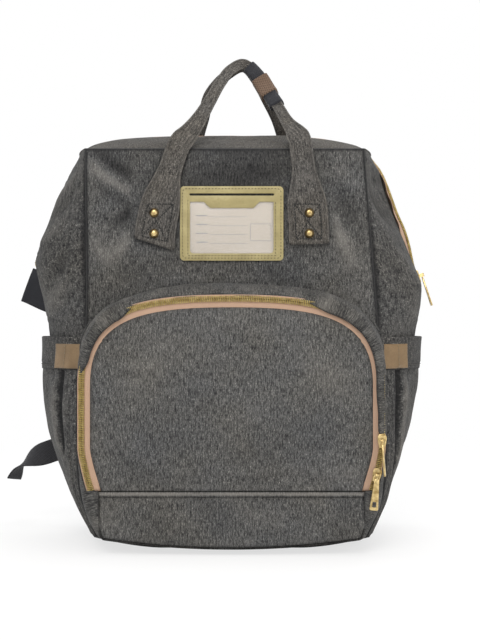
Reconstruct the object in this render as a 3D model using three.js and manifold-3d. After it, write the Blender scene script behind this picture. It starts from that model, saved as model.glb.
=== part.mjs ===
// A diaper backpack of heathered cloth, in millimetres: +X is right as the front is seen, the front
// faces -Y, +Z is up, and the origin is the middle of the flat base.
import * as THREE from "three";
import { mergeVertices } from "three/addons/utils/BufferGeometryUtils.js";
import Module from "manifold-3d";

const wasm = await Module();
wasm.setup();

// Clearances
const SEAM_GAP = 0.3;
const FIT_GAP = 0.3;

// Body shell
const BODY_DEPTH = 160;
const BODY_HEIGHT = 388;
const PANEL_THICKNESS = 3;
const GUSSET_THICKNESS = 4;
const BASE_THICKNESS = 3;
const BASE_FLAT_HALF = 70;
const BASE_CORNER_RISE = 10;
const BASE_BOARD_THICKNESS = 2.5;
const BASE_BOARD_WIDTH = 210;
const BASE_BOARD_DEPTH = 138;
const LID_DOME = 23;
// Share of the dome's height from the lid's left end, -1, to its right end, 1
const LID_SHOULDERS = [
  [-1, 0],
  [-0.92, 0.44],
  [-0.81, 0.69],
  [-0.64, 0.89],
  [-0.35, 1],
  [0.25, 1],
  [0.64, 0.89],
  [0.8, 0.69],
  [0.91, 0.44],
  [1, 0],
];
const LID_THICKNESS = 3;
const MOUTH_WIRE_DIAMETER = 2.5;
const MOUTH_WIRE_DROP = 0.8;
const MOUTH_WIRE_REACH = 0.88;

// Half-width of the front and back panels by height, at their side seams
const SEAM_HALF_WIDTH_BASE = 128;
const SEAM_HALF_WIDTH_LOW = 148;
const SEAM_LOW_HEIGHT = 50;
const SEAM_HALF_WIDTH_POCKET = 151;
const SEAM_POCKET_HEIGHT = 112;
const SEAM_HALF_WIDTH_SHOULDER = 142;
const SEAM_SHOULDER_HEIGHT = 222;
const SEAM_HALF_WIDTH_TOP_LEFT = 143;
const SEAM_HALF_WIDTH_TOP_RIGHT = 129;

// Half-width at the middle of the depth by height
const GIRTH_HALF_WIDTH_BASE = 138;
const GIRTH_HALF_WIDTH_LOW_LEFT = 164;
const GIRTH_HALF_WIDTH_LOW_RIGHT = 158.5;
const GIRTH_LOW_HEIGHT = 60;
const GIRTH_HALF_WIDTH_POCKET_LEFT = 184;
const GIRTH_HALF_WIDTH_POCKET_RIGHT = 176.5;
const GIRTH_POCKET_HEIGHT = 130;
const GIRTH_HALF_WIDTH_WAIST = 188;
const GIRTH_WAIST_HEIGHT = 215;
const ZIP_END_HEIGHT_LEFT = 280;
const ZIP_END_HEIGHT_RIGHT = 258;
const ZIP_END_HALF_WIDTH_LEFT = 200;
const ZIP_END_HALF_WIDTH_RIGHT = 191;
const GIRTH_TOP_HALF_WIDTH_LEFT = 156;
const GIRTH_TOP_HALF_WIDTH_RIGHT = 148;

// Side pockets
const SIDE_POCKET_TOP = 202;
const SIDE_POCKET_FOOT = 16;
const SIDE_POCKET_THICKNESS = 2;
const SIDE_POCKET_SLACK = 8.5;
const SIDE_POCKET_DRAW = 4;
const SIDE_POCKET_DRAW_HEIGHT = 56;
const HEM_HEIGHT = 31;
const TAB_HEIGHT = 24;
const TAB_LENGTH = 27;
const TAB_THICKNESS = 1.6;

// Front pocket: its seam on the body under the name holder, its front edge, and the flap that the zip
// lets down
const POCKET_DEPTH = 38.7;
const POCKET_WALL = 2.5;
const POCKET_SEAM_HALF_WIDTH = 145.5;
const POCKET_SEAM_DROP = 25.5;
const POCKET_SEAM_ARCH = 57;
const POCKET_EDGE_HALF_WIDTH = 145.5;
const POCKET_EDGE_DROP = 7.5;
const POCKET_EDGE_ARCH = 85.5;
const POCKET_EDGE_LEG_FOOT = 100;
const POCKET_EDGE_FOOT_HALF_WIDTH = 122;
const POCKET_SEAM_FOOT_HALF_WIDTH = 125;
const POCKET_SEAM_FOOT = 3;
const POCKET_EDGE_FOOT = 6;
const POCKET_SILL = 60;
const FLAP_THICKNESS = 2.6;
const LOWER_PANEL_THICKNESS = 4;

// Zips: tape and the two rows of teeth
const TAPE_THICKNESS = 1.5;
const POCKET_TAPE_EDGE = 1.9;
const TEETH_ROW_WIDTH = 2.4;
const TEETH_HEIGHT = 2.6;
const FLAP_TAPE_SHOWN = 5.5;
const FLAP_TAPE_HIDDEN = 5;
const MAIN_TAPE_WIDTH = 15;
const MAIN_TEETH_WIDTH = 5.6;
const MAIN_ZIP_SLOT = 8;

// Zip sliders and their pulls
const SLIDER_WIDTH = 8.4;
const SLIDER_LENGTH = 13;
const SLIDER_PLATE = 2;
const SLIDER_EAR_HEIGHT = 4.9;
const SLIDER_EAR_THICKNESS = 1.3;
const SLIDER_EAR_LENGTH = 3.6;
const PIN_DIAMETER = 1.6;
const PULL_BORE_CLEARANCE = 0.3;
const PULL_THICKNESS = 1.5;
const PULL_LENGTH = 33;
const PULL_KNUCKLE_WIDTH = 3.2;
const PULL_KNUCKLE_DIAMETER = 4;
const PULL_NECK_LENGTH = 4.5;
const PULL_NECK_WIDTH = 4.4;
const PULL_FOOT_WIDTH = 8.2;
const PULL_WINDOW = 3.6;
const POCKET_SLIDER_UPPER_HEIGHT = 108;
const POCKET_SLIDER_LOWER_HEIGHT = 76;
const UPPER_PULL_TWIST = 80;
const UPPER_PULL_LEAN = 4;
const LOWER_SLIDER_TILT = 12;
const LOWER_PULL_LEAN = 6;
const FLAP_ZIP_START = 97;
const MAIN_SLIDER_START = 1;

// Carry handles
const HANDLE_WIDTH = 21;
const HANDLE_CROWN_WIDTH = 9.5;
const HANDLE_TAPER = { left: 4, right: 8 };
const HANDLE_TAPER_END = 0.92;
const BACK_HANDLE_BULGE = 0.13;
const HANDLE_THICKNESS = 5;
const HANDLE_RISE = 94.5;
const HANDLE_CROWN_X = 12;
const HANDLE_PATCH_WIDTH = 38;
const HANDLE_PATCH_CLEAR = 6;
const HANDLE_PATCH_DROP = 94;
const HANDLE_PATCH_TILT = { left: 0.22, right: 0 };
const HANDLE_PATCH_SHOULDER = 34;
const HANDLE_LEG_DROP = 16;
const HANDLE_LEG_TOP_LEFT = 52;
const HANDLE_LEG_TOP_RIGHT = 67;
const RIVET_DIAMETER = 7.6;
const RIVET_HEAD = 2;
const RIVET_SPACING = 20;
const RIVET_INSET = 10.5;
const WRAP_THICKNESS = 2.2;
const WRAP_RING_THICKNESS = 1.2;
const WRAP_PLAY = 0.9;

// Name holder
const HOLDER_WIDTH = 100;
const HOLDER_HEIGHT = 72;
const HOLDER_THICKNESS = 2.2;
const HOLDER_DROP = 73.5;
const HOLDER_WINDOW_WIDTH = 81;
const HOLDER_WINDOW_HEIGHT = 50;
const HOLDER_WINDOW_DROP = 4;
const HOLDER_TAB_WIDTH = 42;
const HOLDER_TAB_DROP = 6;
const HOLDER_SLOT_WIDTH = 82;
const HOLDER_SLOT_HEIGHT = 2.2;
const HOLDER_SLOT_RISE = 28;
const CARD_THICKNESS = 0.5;
const WINDOW_FILM_THICKNESS = 0.4;
const CARD_MARGIN = 3;

// Shoulder straps
const STRAP_TOP_DROP = 20;
const STRAP_PAD_WIDTH = 56;
const STRAP_PAD_TOP_WIDTH = 30;
const STRAP_PAD_END_WIDTH = 39;
const STRAP_PAD_THICKNESS = 8;
const WEBBING_WIDTH = 25;
const WEBBING_THICKNESS = 1.8;
const WEBBING_TWIST = 118;
const ANCHOR_THICKNESS = 3;
const LOCK_PLAY = 1;
const LOCK_HEIGHT = 26;
const LOCK_THICKNESS = 3.5;
const LOCK_BAR = 4;

const FRONT = -BODY_DEPTH / 2;
const BACK = BODY_DEPTH / 2;
const GUSSET_REACH = BODY_DEPTH / 2 - PANEL_THICKNESS - SEAM_GAP;

// Colours read off the cloth, the zips and the fittings
const COLOURS = {
  cloth: [0x5a5653, 0.95, 0],
  handle: [0x625a52, 0.95, 0],
  hem: [0x585451, 0.95, 0],
  tape: [0xc8a58c, 0.9, 0],
  teeth: [0xbea55a, 0.35, 0.9],
  metal: [0xc8ab62, 0.25, 1],
  holder: [0xaaa06e, 0.6, 0],
  film: [0xe8e8e6, 0.1, 0],
  card: [0xe6e0d6, 0.8, 0],
  tab: [0x96825f, 0.6, 0],
  ring: [0x7d5f46, 0.9, 0],
  dark: [0x34312f, 0.9, 0],
  webbing: [0x26262a, 0.85, 0],
  plastic: [0x1a1a1b, 0.45, 0],
  board: [0x303030, 0.7, 0],
  wire: [0x8a8a8a, 0.4, 0.9],
};

// A smooth curve through [height, value] stations, with the end slopes of their own spans.
function profile(stations) {
  const slope = (i, j) => (stations[j][1] - stations[i][1]) / (stations[j][0] - stations[i][0]);
  const last = stations.length - 1;
  const tangents = stations.map((_, i) => slope(Math.max(i - 1, 0), Math.min(i + 1, last)));
  return (height) => {
    let i = 0;
    while (i < last - 1 && height > stations[i + 1][0]) {
      i += 1;
    }
    const span = stations[i + 1][0] - stations[i][0];
    const t = THREE.MathUtils.clamp((height - stations[i][0]) / span, 0, 1);
    const rest = 1 - t;
    return (
      rest * rest * (1 + 2 * t) * stations[i][1] +
      t * rest * rest * span * tangents[i] +
      t * t * (3 - 2 * t) * stations[i + 1][1] -
      t * t * rest * span * tangents[i + 1]
    );
  };
}

// Each side of the bag: its sign along X, its seam line and its line at the middle of the depth.
function makeSide(name, sign, seamTop, girthLow, girthPocket, zipFoot, zipEnd, girthTop) {
  const seam = profile([
    [0, SEAM_HALF_WIDTH_BASE],
    [SEAM_LOW_HEIGHT, SEAM_HALF_WIDTH_LOW],
    [SEAM_POCKET_HEIGHT, SEAM_HALF_WIDTH_POCKET],
    [SEAM_SHOULDER_HEIGHT, SEAM_HALF_WIDTH_SHOULDER],
    [BODY_HEIGHT, seamTop],
  ]);
  const lowGirth = profile([
    [0, GIRTH_HALF_WIDTH_BASE],
    [GIRTH_LOW_HEIGHT, girthLow],
    [GIRTH_POCKET_HEIGHT, girthPocket],
    [GIRTH_WAIST_HEIGHT, GIRTH_HALF_WIDTH_WAIST],
    [zipFoot, zipEnd],
  ]);
  const lean = (girthTop - zipEnd) / (BODY_HEIGHT - zipFoot);
  const girth = (z) => (z < zipFoot ? lowGirth(z) : zipEnd + lean * (z - zipFoot));
  const skin = (y, z) => seam(z) + (girth(z) - seam(z)) * (1 - (y / GUSSET_REACH) ** 2);
  return { name, sign, seam, skin, zipFoot, zipEnd, slant: Math.atan(-lean) };
}
const LEFT = makeSide(
  "left",
  -1,
  SEAM_HALF_WIDTH_TOP_LEFT,
  GIRTH_HALF_WIDTH_LOW_LEFT,
  GIRTH_HALF_WIDTH_POCKET_LEFT,
  ZIP_END_HEIGHT_LEFT,
  ZIP_END_HALF_WIDTH_LEFT,
  GIRTH_TOP_HALF_WIDTH_LEFT,
);
const RIGHT = makeSide(
  "right",
  1,
  SEAM_HALF_WIDTH_TOP_RIGHT,
  GIRTH_HALF_WIDTH_LOW_RIGHT,
  GIRTH_HALF_WIDTH_POCKET_RIGHT,
  ZIP_END_HEIGHT_RIGHT,
  ZIP_END_HALF_WIDTH_RIGHT,
  GIRTH_TOP_HALF_WIDTH_RIGHT,
);
const SIDES = [LEFT, RIGHT];

const part = new THREE.Group();

// Adds a mesh under its node name, with one of the finishes above.
function place(name, geometry, finish, matrix) {
  const [color, roughness, metalness] = COLOURS[finish];
  const mesh = new THREE.Mesh(geometry, new THREE.MeshStandardMaterial({ color, roughness, metalness }));
  mesh.name = name;
  if (matrix) {
    mesh.applyMatrix4(matrix);
  }
  part.add(mesh);
  return mesh;
}

// Turns a geometry into a solid that can be cut and joined, and a solid back into a geometry.
function solid(geometry) {
  const bare = geometry.clone();
  for (const extra of ["normal", "uv"]) {
    bare.deleteAttribute(extra);
  }
  const merged = mergeVertices(bare, 1e-4);
  const made = new wasm.Manifold(
    new wasm.Mesh({
      numProp: 3,
      vertProperties: merged.attributes.position.array,
      triVerts: new Uint32Array(merged.index.array),
    }),
  );
  return made;
}
function geometryOf(manifold) {
  const mesh = manifold.getMesh();
  const geometry = new THREE.BufferGeometry();
  geometry.setAttribute("position", new THREE.BufferAttribute(mesh.vertProperties, 3));
  geometry.setIndex(new THREE.BufferAttribute(mesh.triVerts, 1));
  return geometry;
}

// A geometry from points and triangles, turned over if its faces point inwards.
function closedGeometry(points, triangles) {
  let volume = 0;
  for (const [a, b, c] of triangles) {
    const [p, q, r] = [points[a], points[b], points[c]];
    volume += p.dot(new THREE.Vector3().crossVectors(q, r));
  }
  const faces = volume < 0 ? triangles.map(([a, b, c]) => [a, c, b]) : triangles;
  const geometry = new THREE.BufferGeometry();
  geometry.setAttribute("position", new THREE.Float32BufferAttribute(points.flatMap((p) => p.toArray()), 3));
  geometry.setIndex(faces.flat());
  return geometry;
}

// A wall between two grids of points with the same rows and columns; rows may close into a ring.
function wall(outer, inner, ring = false) {
  const rows = outer.length;
  const columns = outer[0].length;
  const points = [...outer.flat(), ...inner.flat()];
  const at = (layer, i, j) => layer * rows * columns + (i % rows) * columns + j;
  const triangles = [];
  const quad = (a, b, c, d) => triangles.push([a, b, c], [a, c, d]);
  const steps = ring ? rows : rows - 1;
  for (let i = 0; i < steps; i += 1) {
    for (let j = 0; j < columns - 1; j += 1) {
      quad(at(0, i, j), at(0, i, j + 1), at(0, i + 1, j + 1), at(0, i + 1, j));
      quad(at(1, i, j), at(1, i + 1, j), at(1, i + 1, j + 1), at(1, i, j + 1));
    }
    quad(at(0, i, 0), at(0, i + 1, 0), at(1, i + 1, 0), at(1, i, 0));
    quad(at(0, i, columns - 1), at(1, i, columns - 1), at(1, i + 1, columns - 1), at(0, i + 1, columns - 1));
  }
  if (!ring) {
    for (let j = 0; j < columns - 1; j += 1) {
      quad(at(0, 0, j), at(1, 0, j), at(1, 0, j + 1), at(0, 0, j + 1));
      quad(at(0, rows - 1, j), at(0, rows - 1, j + 1), at(1, rows - 1, j + 1), at(1, rows - 1, j));
    }
  }
  return closedGeometry(points, triangles);
}

// A flat plate from an outline in the XZ plane, its front face at y = front and its back at y = back.
function plate(shape, front, back, curveSteps = 6) {
  const geometry = new THREE.ExtrudeGeometry(shape, {
    depth: back - front,
    bevelEnabled: false,
    curveSegments: curveSteps,
  });
  geometry.rotateX(Math.PI / 2);
  geometry.translate(0, back, 0);
  return geometry;
}

// A block by its low and high corners.
function block(low, high) {
  const size = high.map((value, axis) => value - low[axis]);
  const geometry = new THREE.BoxGeometry(...size);
  geometry.translate(...high.map((value, axis) => (value + low[axis]) / 2));
  return geometry;
}

// A rod of round section between two points.
function rod(from, to, diameter, sides = 12) {
  const span = new THREE.Vector3().subVectors(to, from);
  const geometry = new THREE.CylinderGeometry(diameter / 2, diameter / 2, span.length(), sides);
  const upright = new THREE.Vector3(0, 1, 0);
  const turn = new THREE.Quaternion().setFromUnitVectors(upright, span.clone().normalize());
  geometry.applyQuaternion(turn);
  geometry.translate(...from.clone().add(to).multiplyScalar(0.5).toArray());
  return geometry;
}

// The rounded-rectangle outline of a given size about a point of the XZ plane.
function roundedRectangle(x, z, width, height, radius) {
  const shape = new THREE.Shape();
  const [left, right, foot, top] = [x - width / 2, x + width / 2, z - height / 2, z + height / 2];
  shape.moveTo(left + radius, foot);
  shape.lineTo(right - radius, foot);
  shape.absarc(right - radius, foot + radius, radius, -Math.PI / 2, 0);
  shape.lineTo(right, top - radius);
  shape.absarc(right - radius, top - radius, radius, 0, Math.PI / 2);
  shape.lineTo(left + radius, top);
  shape.absarc(left + radius, top - radius, radius, Math.PI / 2, Math.PI);
  shape.lineTo(left, foot + radius);
  shape.absarc(left + radius, foot + radius, radius, Math.PI, Math.PI * 1.5);
  return shape;
}

// Stations of a strap along its route: the middle of its section, its width and its face directions.
function strapStations(route, face, steps, from = 0, to = 1, turnAt = () => 0) {
  const curve = new THREE.CatmullRomCurve3(route.map((p) => new THREE.Vector3(...p)), false, "centripetal");
  const stations = [];
  for (let i = 0; i <= steps; i += 1) {
    const t = THREE.MathUtils.lerp(from, to, i / steps);
    const along = curve.getTangentAt(t);
    const across = new THREE.Vector3().crossVectors(new THREE.Vector3(...face), along).normalize();
    across.applyAxisAngle(along, turnAt(t));
    const facing = new THREE.Vector3().crossVectors(along, across);
    stations.push({ middle: curve.getPointAt(t), across, facing, t });
  }
  return stations;
}

// The four corners of a strap section, as one row.
function section(station, width, thickness) {
  const corners = [[-1, -1], [1, -1], [1, 1], [-1, 1]];
  return corners.map(([u, v]) =>
    station.middle
      .clone()
      .addScaledVector(station.across, (u * width) / 2)
      .addScaledVector(station.facing, (v * thickness) / 2),
  );
}

// A flat strap along its stations; the width may change along it.
function strap(stations, widthAt, thickness) {
  const rows = stations.map((station) => section(station, widthAt(station.t), thickness));
  const points = rows.flat();
  const triangles = [];
  const quad = (a, b, c, d) => triangles.push([a, b, c], [a, c, d]);
  for (let i = 0; i < rows.length - 1; i += 1) {
    const [a, b] = [4 * i, 4 * i + 4];
    quad(a, a + 1, b + 1, b);
    quad(a + 1, a + 2, b + 2, b + 1);
    quad(a + 3, b + 3, b + 2, a + 2);
    quad(a + 3, a, b, b + 3);
  }
  const end = 4 * (rows.length - 1);
  quad(3, 2, 1, 0);
  quad(end, end + 1, end + 2, end + 3);
  return closedGeometry(points, triangles);
}

// A sleeve round a strap: its hole, that much larger than the strap, stays open at both ends.
function sleeve(stations, widthAt, thickness, play, wallThickness) {
  const grow = play + 2 * wallThickness;
  const outer = [];
  const inner = [];
  for (let k = 0; k < 4; k += 1) {
    outer.push(stations.map((s) => section(s, widthAt(s.t) + grow, thickness + grow)[k]));
    inner.push(stations.map((s) => section(s, widthAt(s.t) + play, thickness + play)[k]));
  }
  return wall(outer, inner, true);
}

// Front, back and base of the body
const baseEdge = (side, y) => side.skin(y, BASE_CORNER_RISE + BASE_THICKNESS);
function baseHeight(x) {
  const side = x < 0 ? LEFT : RIGHT;
  const reach = side.skin(0, BASE_CORNER_RISE + BASE_THICKNESS) - BASE_FLAT_HALF;
  const out = Math.max(0, Math.abs(x) - BASE_FLAT_HALF) / reach;
  return BASE_CORNER_RISE * out ** 1.6;
}
function panelShape() {
  const shape = new THREE.Shape();
  const steps = 14;
  const foot = BASE_CORNER_RISE;
  shape.moveTo(-BASE_FLAT_HALF, 0);
  shape.lineTo(BASE_FLAT_HALF, 0);
  for (const side of [RIGHT, LEFT]) {
    const rim = [];
    for (let i = 1; i <= 4; i += 1) {
      const x = THREE.MathUtils.lerp(BASE_FLAT_HALF, side.seam(foot), i / 4);
      rim.push([side.sign * x, baseHeight(side.sign * x)]);
    }
    for (let i = 1; i <= steps; i += 1) {
      const z = THREE.MathUtils.lerp(foot, BODY_HEIGHT, i / steps);
      rim.push([side.sign * side.seam(z), z]);
    }
    for (const [x, z] of side === RIGHT ? rim : rim.reverse()) {
      shape.lineTo(x, z);
    }
  }
  return shape;
}
place("front_panel", plate(panelShape(), FRONT, FRONT + PANEL_THICKNESS), "cloth");
place("back_panel", plate(panelShape(), BACK - PANEL_THICKNESS, BACK), "cloth");

function basePanel() {
  const outer = [];
  const inner = [];
  const rows = 12;
  const columns = 6;
  for (let i = 0; i <= rows; i += 1) {
    const across = THREE.MathUtils.lerp(-1, 1, i / rows);
    const low = [];
    const high = [];
    for (let j = 0; j <= columns; j += 1) {
      const y = THREE.MathUtils.lerp(-GUSSET_REACH, GUSSET_REACH, j / columns);
      const left = -baseEdge(LEFT, y);
      const right = baseEdge(RIGHT, y);
      const x = THREE.MathUtils.lerp(left, right, (across + 1) / 2);
      const z = baseHeight(x);
      low.push(new THREE.Vector3(x, y, z));
      high.push(new THREE.Vector3(x, y, z + BASE_THICKNESS));
    }
    outer.push(low);
    inner.push(high);
  }
  return wall(outer, inner);
}
place("base_panel", basePanel(), "cloth");

const boardFoot = baseHeight(BASE_BOARD_WIDTH / 2) + BASE_THICKNESS + FIT_GAP;
place(
  "base_board",
  block(
    [-BASE_BOARD_WIDTH / 2, -BASE_BOARD_DEPTH / 2, boardFoot],
    [BASE_BOARD_WIDTH / 2, BASE_BOARD_DEPTH / 2, boardFoot + BASE_BOARD_THICKNESS],
  ),
  "board",
);

// Side gussets, each slotted down to the end of the main zip
const gussetFoot = BASE_CORNER_RISE + BASE_THICKNESS + SEAM_GAP;
const gussetTop = BODY_HEIGHT - LID_THICKNESS - SEAM_GAP;
const GUSSET_ROWS = 10;
const GUSSET_TOP_ROWS = 4;
const GUSSET_COLUMNS = 10;
function gusset(side) {
  const outer = [];
  const inner = [];
  const heights = [];
  for (let i = 0; i < GUSSET_ROWS; i += 1) {
    heights.push(THREE.MathUtils.lerp(gussetFoot, side.zipFoot, i / GUSSET_ROWS));
  }
  for (let i = 0; i <= GUSSET_TOP_ROWS; i += 1) {
    heights.push(THREE.MathUtils.lerp(side.zipFoot, gussetTop, i / GUSSET_TOP_ROWS));
  }
  for (const z of heights) {
    const skin = [];
    const lining = [];
    for (let j = 0; j <= GUSSET_COLUMNS; j += 1) {
      const y = THREE.MathUtils.lerp(-GUSSET_REACH, GUSSET_REACH, j / GUSSET_COLUMNS);
      skin.push(new THREE.Vector3(side.sign * side.skin(y, z), y, z));
      lining.push(new THREE.Vector3(side.sign * (side.skin(y, z) - GUSSET_THICKNESS), y, z));
    }
    outer.push(skin);
    inner.push(lining);
  }
  const reach = side.zipEnd + GUSSET_THICKNESS;
  const slot = block(
    [Math.min(0, side.sign * reach), -MAIN_ZIP_SLOT / 2, side.zipFoot],
    [Math.max(0, side.sign * reach), MAIN_ZIP_SLOT / 2, BODY_HEIGHT],
  );
  return geometryOf(solid(wall(outer, inner)).subtract(solid(slot)));
}
for (const side of SIDES) {
  place(`side_gusset_${side.name}`, gusset(side), "cloth");
}

// Side pockets: a slack cloth face, a deep hem over its top and a tab at the hem's front end
function pocketSkin(side, y, z) {
  const rise = THREE.MathUtils.clamp((z - SIDE_POCKET_FOOT) / (SIDE_POCKET_TOP - SIDE_POCKET_FOOT), 0, 1);
  const drawFoot = SIDE_POCKET_TOP - SIDE_POCKET_DRAW_HEIGHT;
  const draw = SIDE_POCKET_DRAW * THREE.MathUtils.smoothstep(z, drawFoot, SIDE_POCKET_TOP);
  const slack = (SIDE_POCKET_SLACK * rise ** 0.6 - draw) * (1 - (y / GUSSET_REACH) ** 2);
  return side.skin(y, z) + 1.4 * FIT_GAP + slack + SIDE_POCKET_THICKNESS;
}
function sideSheet(side, low, high, from, to, offset, thickness, rows, columns) {
  const outer = [];
  const inner = [];
  for (let i = 0; i <= rows; i += 1) {
    const z = THREE.MathUtils.lerp(low, high, i / rows);
    const skin = [];
    const lining = [];
    for (let j = 0; j <= columns; j += 1) {
      const y = THREE.MathUtils.lerp(from, to, j / columns);
      const x = pocketSkin(side, y, z) + offset;
      skin.push(new THREE.Vector3(side.sign * x, y, z));
      lining.push(new THREE.Vector3(side.sign * (x - thickness), y, z));
    }
    outer.push(skin);
    inner.push(lining);
  }
  return wall(outer, inner);
}
const hemFoot = SIDE_POCKET_TOP - HEM_HEIGHT;
const tabMiddle = hemFoot + HEM_HEIGHT / 2;
for (const side of SIDES) {
  const face = sideSheet(
    side, SIDE_POCKET_FOOT, hemFoot - SEAM_GAP, -GUSSET_REACH, GUSSET_REACH, 0, SIDE_POCKET_THICKNESS, 8, 10,
  );
  place(`side_pocket_${side.name}`, face, "cloth");
  const hem = sideSheet(
    side, hemFoot, SIDE_POCKET_TOP, -GUSSET_REACH, GUSSET_REACH, 0, SIDE_POCKET_THICKNESS, 2, 10,
  );
  place(`pocket_hem_${side.name}`, hem, "hem");
  const tab = sideSheet(
    side,
    tabMiddle - TAB_HEIGHT / 2,
    tabMiddle + TAB_HEIGHT / 2,
    -GUSSET_REACH,
    -GUSSET_REACH + TAB_LENGTH,
    1.6 * FIT_GAP + TAB_THICKNESS,
    TAB_THICKNESS,
    1,
    4,
  );
  place(`pocket_tab_${side.name}`, tab, "tab");
}

// The lid: two halves that hinge at the front and back top seams and meet at the zip over the middle
const lidReach = BODY_DEPTH / 2 - PANEL_THICKNESS - SEAM_GAP;
const lidEdge = MAIN_TEETH_WIDTH / 2 + SEAM_GAP;
const lidEnd = (side, y) => side.sign * side.skin(y, gussetTop);
const lidShoulder = profile(LID_SHOULDERS);
function lidHeight(across, y) {
  const rise = Math.sin((Math.PI / 2) * (1 - Math.abs(y) / lidReach));
  return BODY_HEIGHT + LID_DOME * lidShoulder(across) * rise;
}
function lidStrip(facing, from, to, rows, columns, thickness, drop = 0, reach = 1) {
  const outer = [];
  const inner = [];
  for (let i = 0; i <= rows; i += 1) {
    const across = reach * Math.sin(THREE.MathUtils.lerp(-Math.PI / 2, Math.PI / 2, i / rows));
    const skin = [];
    const lining = [];
    for (let j = 0; j <= columns; j += 1) {
      const y = facing * THREE.MathUtils.lerp(from, to, j / columns);
      const x = THREE.MathUtils.lerp(lidEnd(LEFT, y), lidEnd(RIGHT, y), (across + 1) / 2);
      const z = lidHeight(across, y) - drop;
      skin.push(new THREE.Vector3(x, y, z));
      lining.push(new THREE.Vector3(x, y, z - thickness));
    }
    outer.push(skin);
    inner.push(lining);
  }
  return wall(outer, inner);
}
const LID_ROWS = 20;
for (const [name, facing] of [["front", -1], ["back", 1]]) {
  place(`lid_${name}`, lidStrip(facing, lidReach, lidEdge, LID_ROWS, 4, LID_THICKNESS), "cloth");
  const teeth = lidStrip(facing, MAIN_TEETH_WIDTH / 2, SEAM_GAP / 2, LID_ROWS, 1, TEETH_HEIGHT, -SEAM_GAP);
  place(`lid_teeth_${name}`, teeth, "teeth");
}

// A spring wire in each lid half's free edge holds the mouth square
for (const [name, facing] of [["front", -1], ["back", 1]]) {
  const y = facing * (lidEdge + MOUTH_WIRE_DIAMETER);
  const route = [];
  for (let i = 0; i <= LID_ROWS; i += 1) {
    const across = MOUTH_WIRE_REACH * Math.sin(THREE.MathUtils.lerp(-Math.PI / 2, Math.PI / 2, i / LID_ROWS));
    const x = THREE.MathUtils.lerp(lidEnd(LEFT, y), lidEnd(RIGHT, y), (across + 1) / 2);
    const z = lidHeight(across, y) - LID_THICKNESS - MOUTH_WIRE_DROP - MOUTH_WIRE_DIAMETER / 2;
    route.push([x, y, z]);
  }
  const stations = strapStations(route, [0, facing, 0], LID_ROWS);
  const wire = strap(stations, () => MOUTH_WIRE_DIAMETER, MOUTH_WIRE_DIAMETER);
  place(`mouth_wire_${name}`, wire, "wire");
}

// Frame of a zip's local axes: X across the teeth, -Y out of the cloth, Z along the slide.
function zipAxes(origin, outward, along) {
  const y = outward.clone().negate();
  const x = new THREE.Vector3().crossVectors(y, along);
  return new THREE.Matrix4().makeBasis(x, y, along).setPosition(origin);
}

// A slider: a tapered plate with two ears that carry the pin of its pull, the teeth under it at y = 0.
const sliderPlateFoot = -FIT_GAP;
const sliderPlateFront = -FIT_GAP - SLIDER_PLATE;
const pinDepth = sliderPlateFront - SLIDER_EAR_HEIGHT + PULL_KNUCKLE_DIAMETER / 2;
function sliderBody() {
  const half = SLIDER_WIDTH / 2;
  const end = SLIDER_LENGTH / 2;
  const outline = new THREE.Shape();
  outline.moveTo(-half * 0.62, -end);
  outline.lineTo(half * 0.62, -end);
  outline.quadraticCurveTo(half, -end * 0.1, half, end * 0.4);
  outline.quadraticCurveTo(half, end, 0, end);
  outline.quadraticCurveTo(-half, end, -half, end * 0.4);
  outline.quadraticCurveTo(-half, -end * 0.1, -half * 0.62, -end);
  let body = solid(plate(outline, sliderPlateFront, sliderPlateFoot, 5));
  const earInside = PULL_KNUCKLE_WIDTH / 2 + PULL_BORE_CLEARANCE;
  const earOutside = earInside + SLIDER_EAR_THICKNESS;
  for (const sign of [-1, 1]) {
    const low = Math.min(sign * earInside, sign * earOutside);
    const high = Math.max(sign * earInside, sign * earOutside);
    const ear = block(
      [low, sliderPlateFront - SLIDER_EAR_HEIGHT, -SLIDER_EAR_LENGTH / 2],
      [high, sliderPlateFront + SLIDER_PLATE / 2, SLIDER_EAR_LENGTH / 2],
    );
    body = body.add(solid(ear));
  }
  const pinEnd = earInside + SLIDER_EAR_THICKNESS / 2;
  const pinStart = new THREE.Vector3(-pinEnd, pinDepth, 0);
  const pinFinish = new THREE.Vector3(pinEnd, pinDepth, 0);
  const pin = rod(pinStart, pinFinish, PIN_DIAMETER);
  return geometryOf(body.add(solid(pin)));
}

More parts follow.
